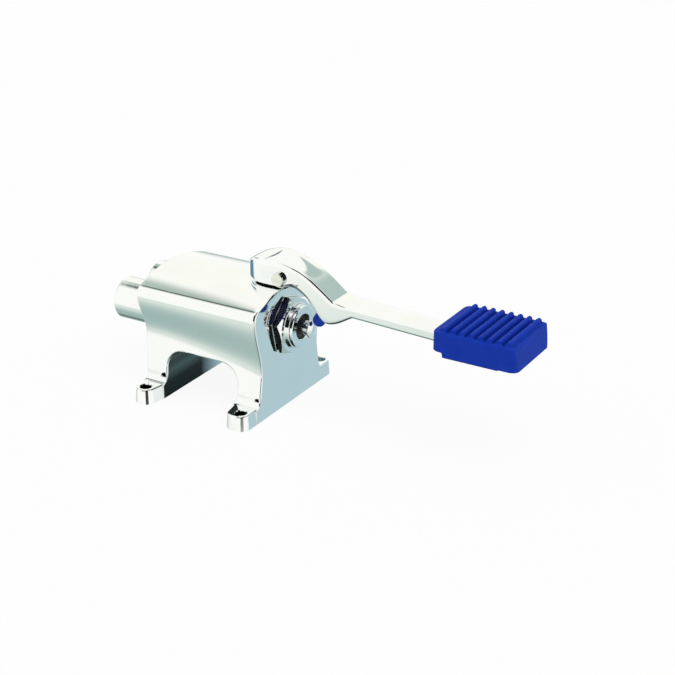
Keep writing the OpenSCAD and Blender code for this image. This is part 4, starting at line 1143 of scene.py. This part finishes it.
# Each card: its share of a direction and its colour. A later card covers an earlier one. In turn they are
# the warm white high behind; the floor's pale beginning, its teal and its black foot; a dark, a grey and
# a pale blue patch low at the far corners; the grey-green wall behind; a grey lamp overhead with its dark
# edge; the dark room before the valve, low in two bands and high; a navy card high on the pedal's side;
# and the cool left wall.
across_view, toward_view = facing((0.862, 0.507, 0)), facing((0.507, -0.862, 0))
overhead = all_of(rises(way_z, 0.5, 0.7), rises(way_x, -0.595, -0.580), rises(way_x, -0.535, -0.55))
dark_room = (0.006, 0.008, 0.009)
cards = [
    (all_of(rises(way_z, 0.1, 0.3), rises(way_y, 0.3, 0.5)), (1.0, 1.0, 0.935)),
    (rises(way_z, -0.345, -0.41), (0.72, 0.79, 0.745)),
    (rises(way_z, -0.45, -0.80), (0.345, 0.475, 0.45)),
    (rises(way_z, -0.82, -0.90), (0.008, 0.011, 0.011)),
    (cone((-0.46, 0.41, -0.78), 12, 28), (0.125, 0.185, 0.17)),
    (cone((-0.64, 0.64, -0.42), 14, 30), (0.36, 0.46, 0.43)),
    (cone((0.46, 0.79, -0.40), 16, 30), (0.44, 0.595, 0.645)),
    (all_of(rises(way_x, 0.08, 0.20), rises(way_y, 0.48, 0.64), rises(way_z, 0.0, 0.2)), (0.44, 0.56, 0.525)),
    (all_of(overhead, rises(way_y, 0.47, 0.33), rises(way_y, -0.30, 0.0)), (0.40, 0.50, 0.44)),
    (all_of(overhead, rises(way_y, 0.16, 0.10), rises(way_y, -0.12, -0.04)), (0.06, 0.09, 0.08)),
    (all_of(rises(across_view, -0.07, 0.0), rises(across_view, 0.52, 0.44), rises(toward_view, 0.40, 0.55),
            rises(way_z, -0.37, -0.32)), dark_room),
    (all_of(rises(across_view, 0.02, 0.08), rises(across_view, 0.36, 0.28), rises(toward_view, 0.40, 0.55),
            rises(way_z, -0.44, -0.49)), dark_room),
    (all_of(rises(way_x, -0.36, -0.28), rises(across_view, 0.52, 0.44), rises(way_y, -0.33, -0.43),
            rises(way_z, 0.0, 0.1), rises(way_z, 0.86, 0.80)), dark_room),
    (all_of(rises(way_x, 0.30, 0.40), rises(way_y, 0.28, 0.16), rises(way_z, 0.50, 0.60)),
     (0.008, 0.011, 0.03)),
    (all_of(rises(way_x, -0.79, -0.85), rises(way_y, -0.34, -0.18), rises(way_z, 0.22, 0.30),
            rises(way_z, 0.66, 0.58)), (0.11, 0.26, 0.36))]
backdrop, fill_strength = (1.0, 1.0, 0.975), 0.46
colour = None
for share, tone in cards:
    mix = add_node(sky, "ShaderNodeMix", {"Factor": share}, data_type="RGBA")
    if colour is None:
        mix.inputs["A"].default_value = (*backdrop, 1)
    else:
        sky.links.new(colour, mix.inputs["A"])
    mix.inputs["B"].default_value = (*tone, 1)
    colour = mix.outputs["Result"]
path = add_node(sky, "ShaderNodeLightPath").outputs
plain = add_node(sky, "ShaderNodeMix", {"Factor": path["Is Camera Ray"]}, data_type="RGBA")
sky.links.new(colour, plain.inputs["A"])
plain.inputs["B"].default_value = (1, 1, 1, 1)
mirrored = add_node(sky, "ShaderNodeMath", {0: path["Is Camera Ray"], 1: path["Is Glossy Ray"]},
                    operation="MAXIMUM")
mirrored = add_node(sky, "ShaderNodeMath", {0: mirrored.outputs["Value"], 1: path["Is Transmission Ray"]},
                    operation="MAXIMUM")
surround = add_node(sky, "ShaderNodeBackground", {"Color": plain.outputs["Result"], "Strength": 1.0})
fill = add_node(sky, "ShaderNodeBackground", {"Color": (1, 1, 1, 1), "Strength": fill_strength})
sky_mix = add_node(sky, "ShaderNodeMixShader", {
    0: mirrored.outputs["Value"], 1: fill.outputs["Background"], 2: surround.outputs["Background"]})
add_node(sky, "ShaderNodeOutputWorld", {"Surface": sky_mix.outputs["Shader"]})

for name, place, angle, power in (("key", (0.45, -0.25, 0.85), 50, 1.4),
                                  ("fill", (-0.6, -0.5, 0.6), 70, 0.45)):
    lamp_data = bpy.data.lights.new(name, "SUN")
    lamp_data.angle = math.radians(angle)
    lamp_data.energy = power
    lamp = bpy.data.objects.new(name, lamp_data)
    lamp.rotation_euler = (-Vector(place)).to_track_quat("-Z", "Y").to_euler()
    lamp.visible_glossy = False
    scene.collection.objects.link(lamp)
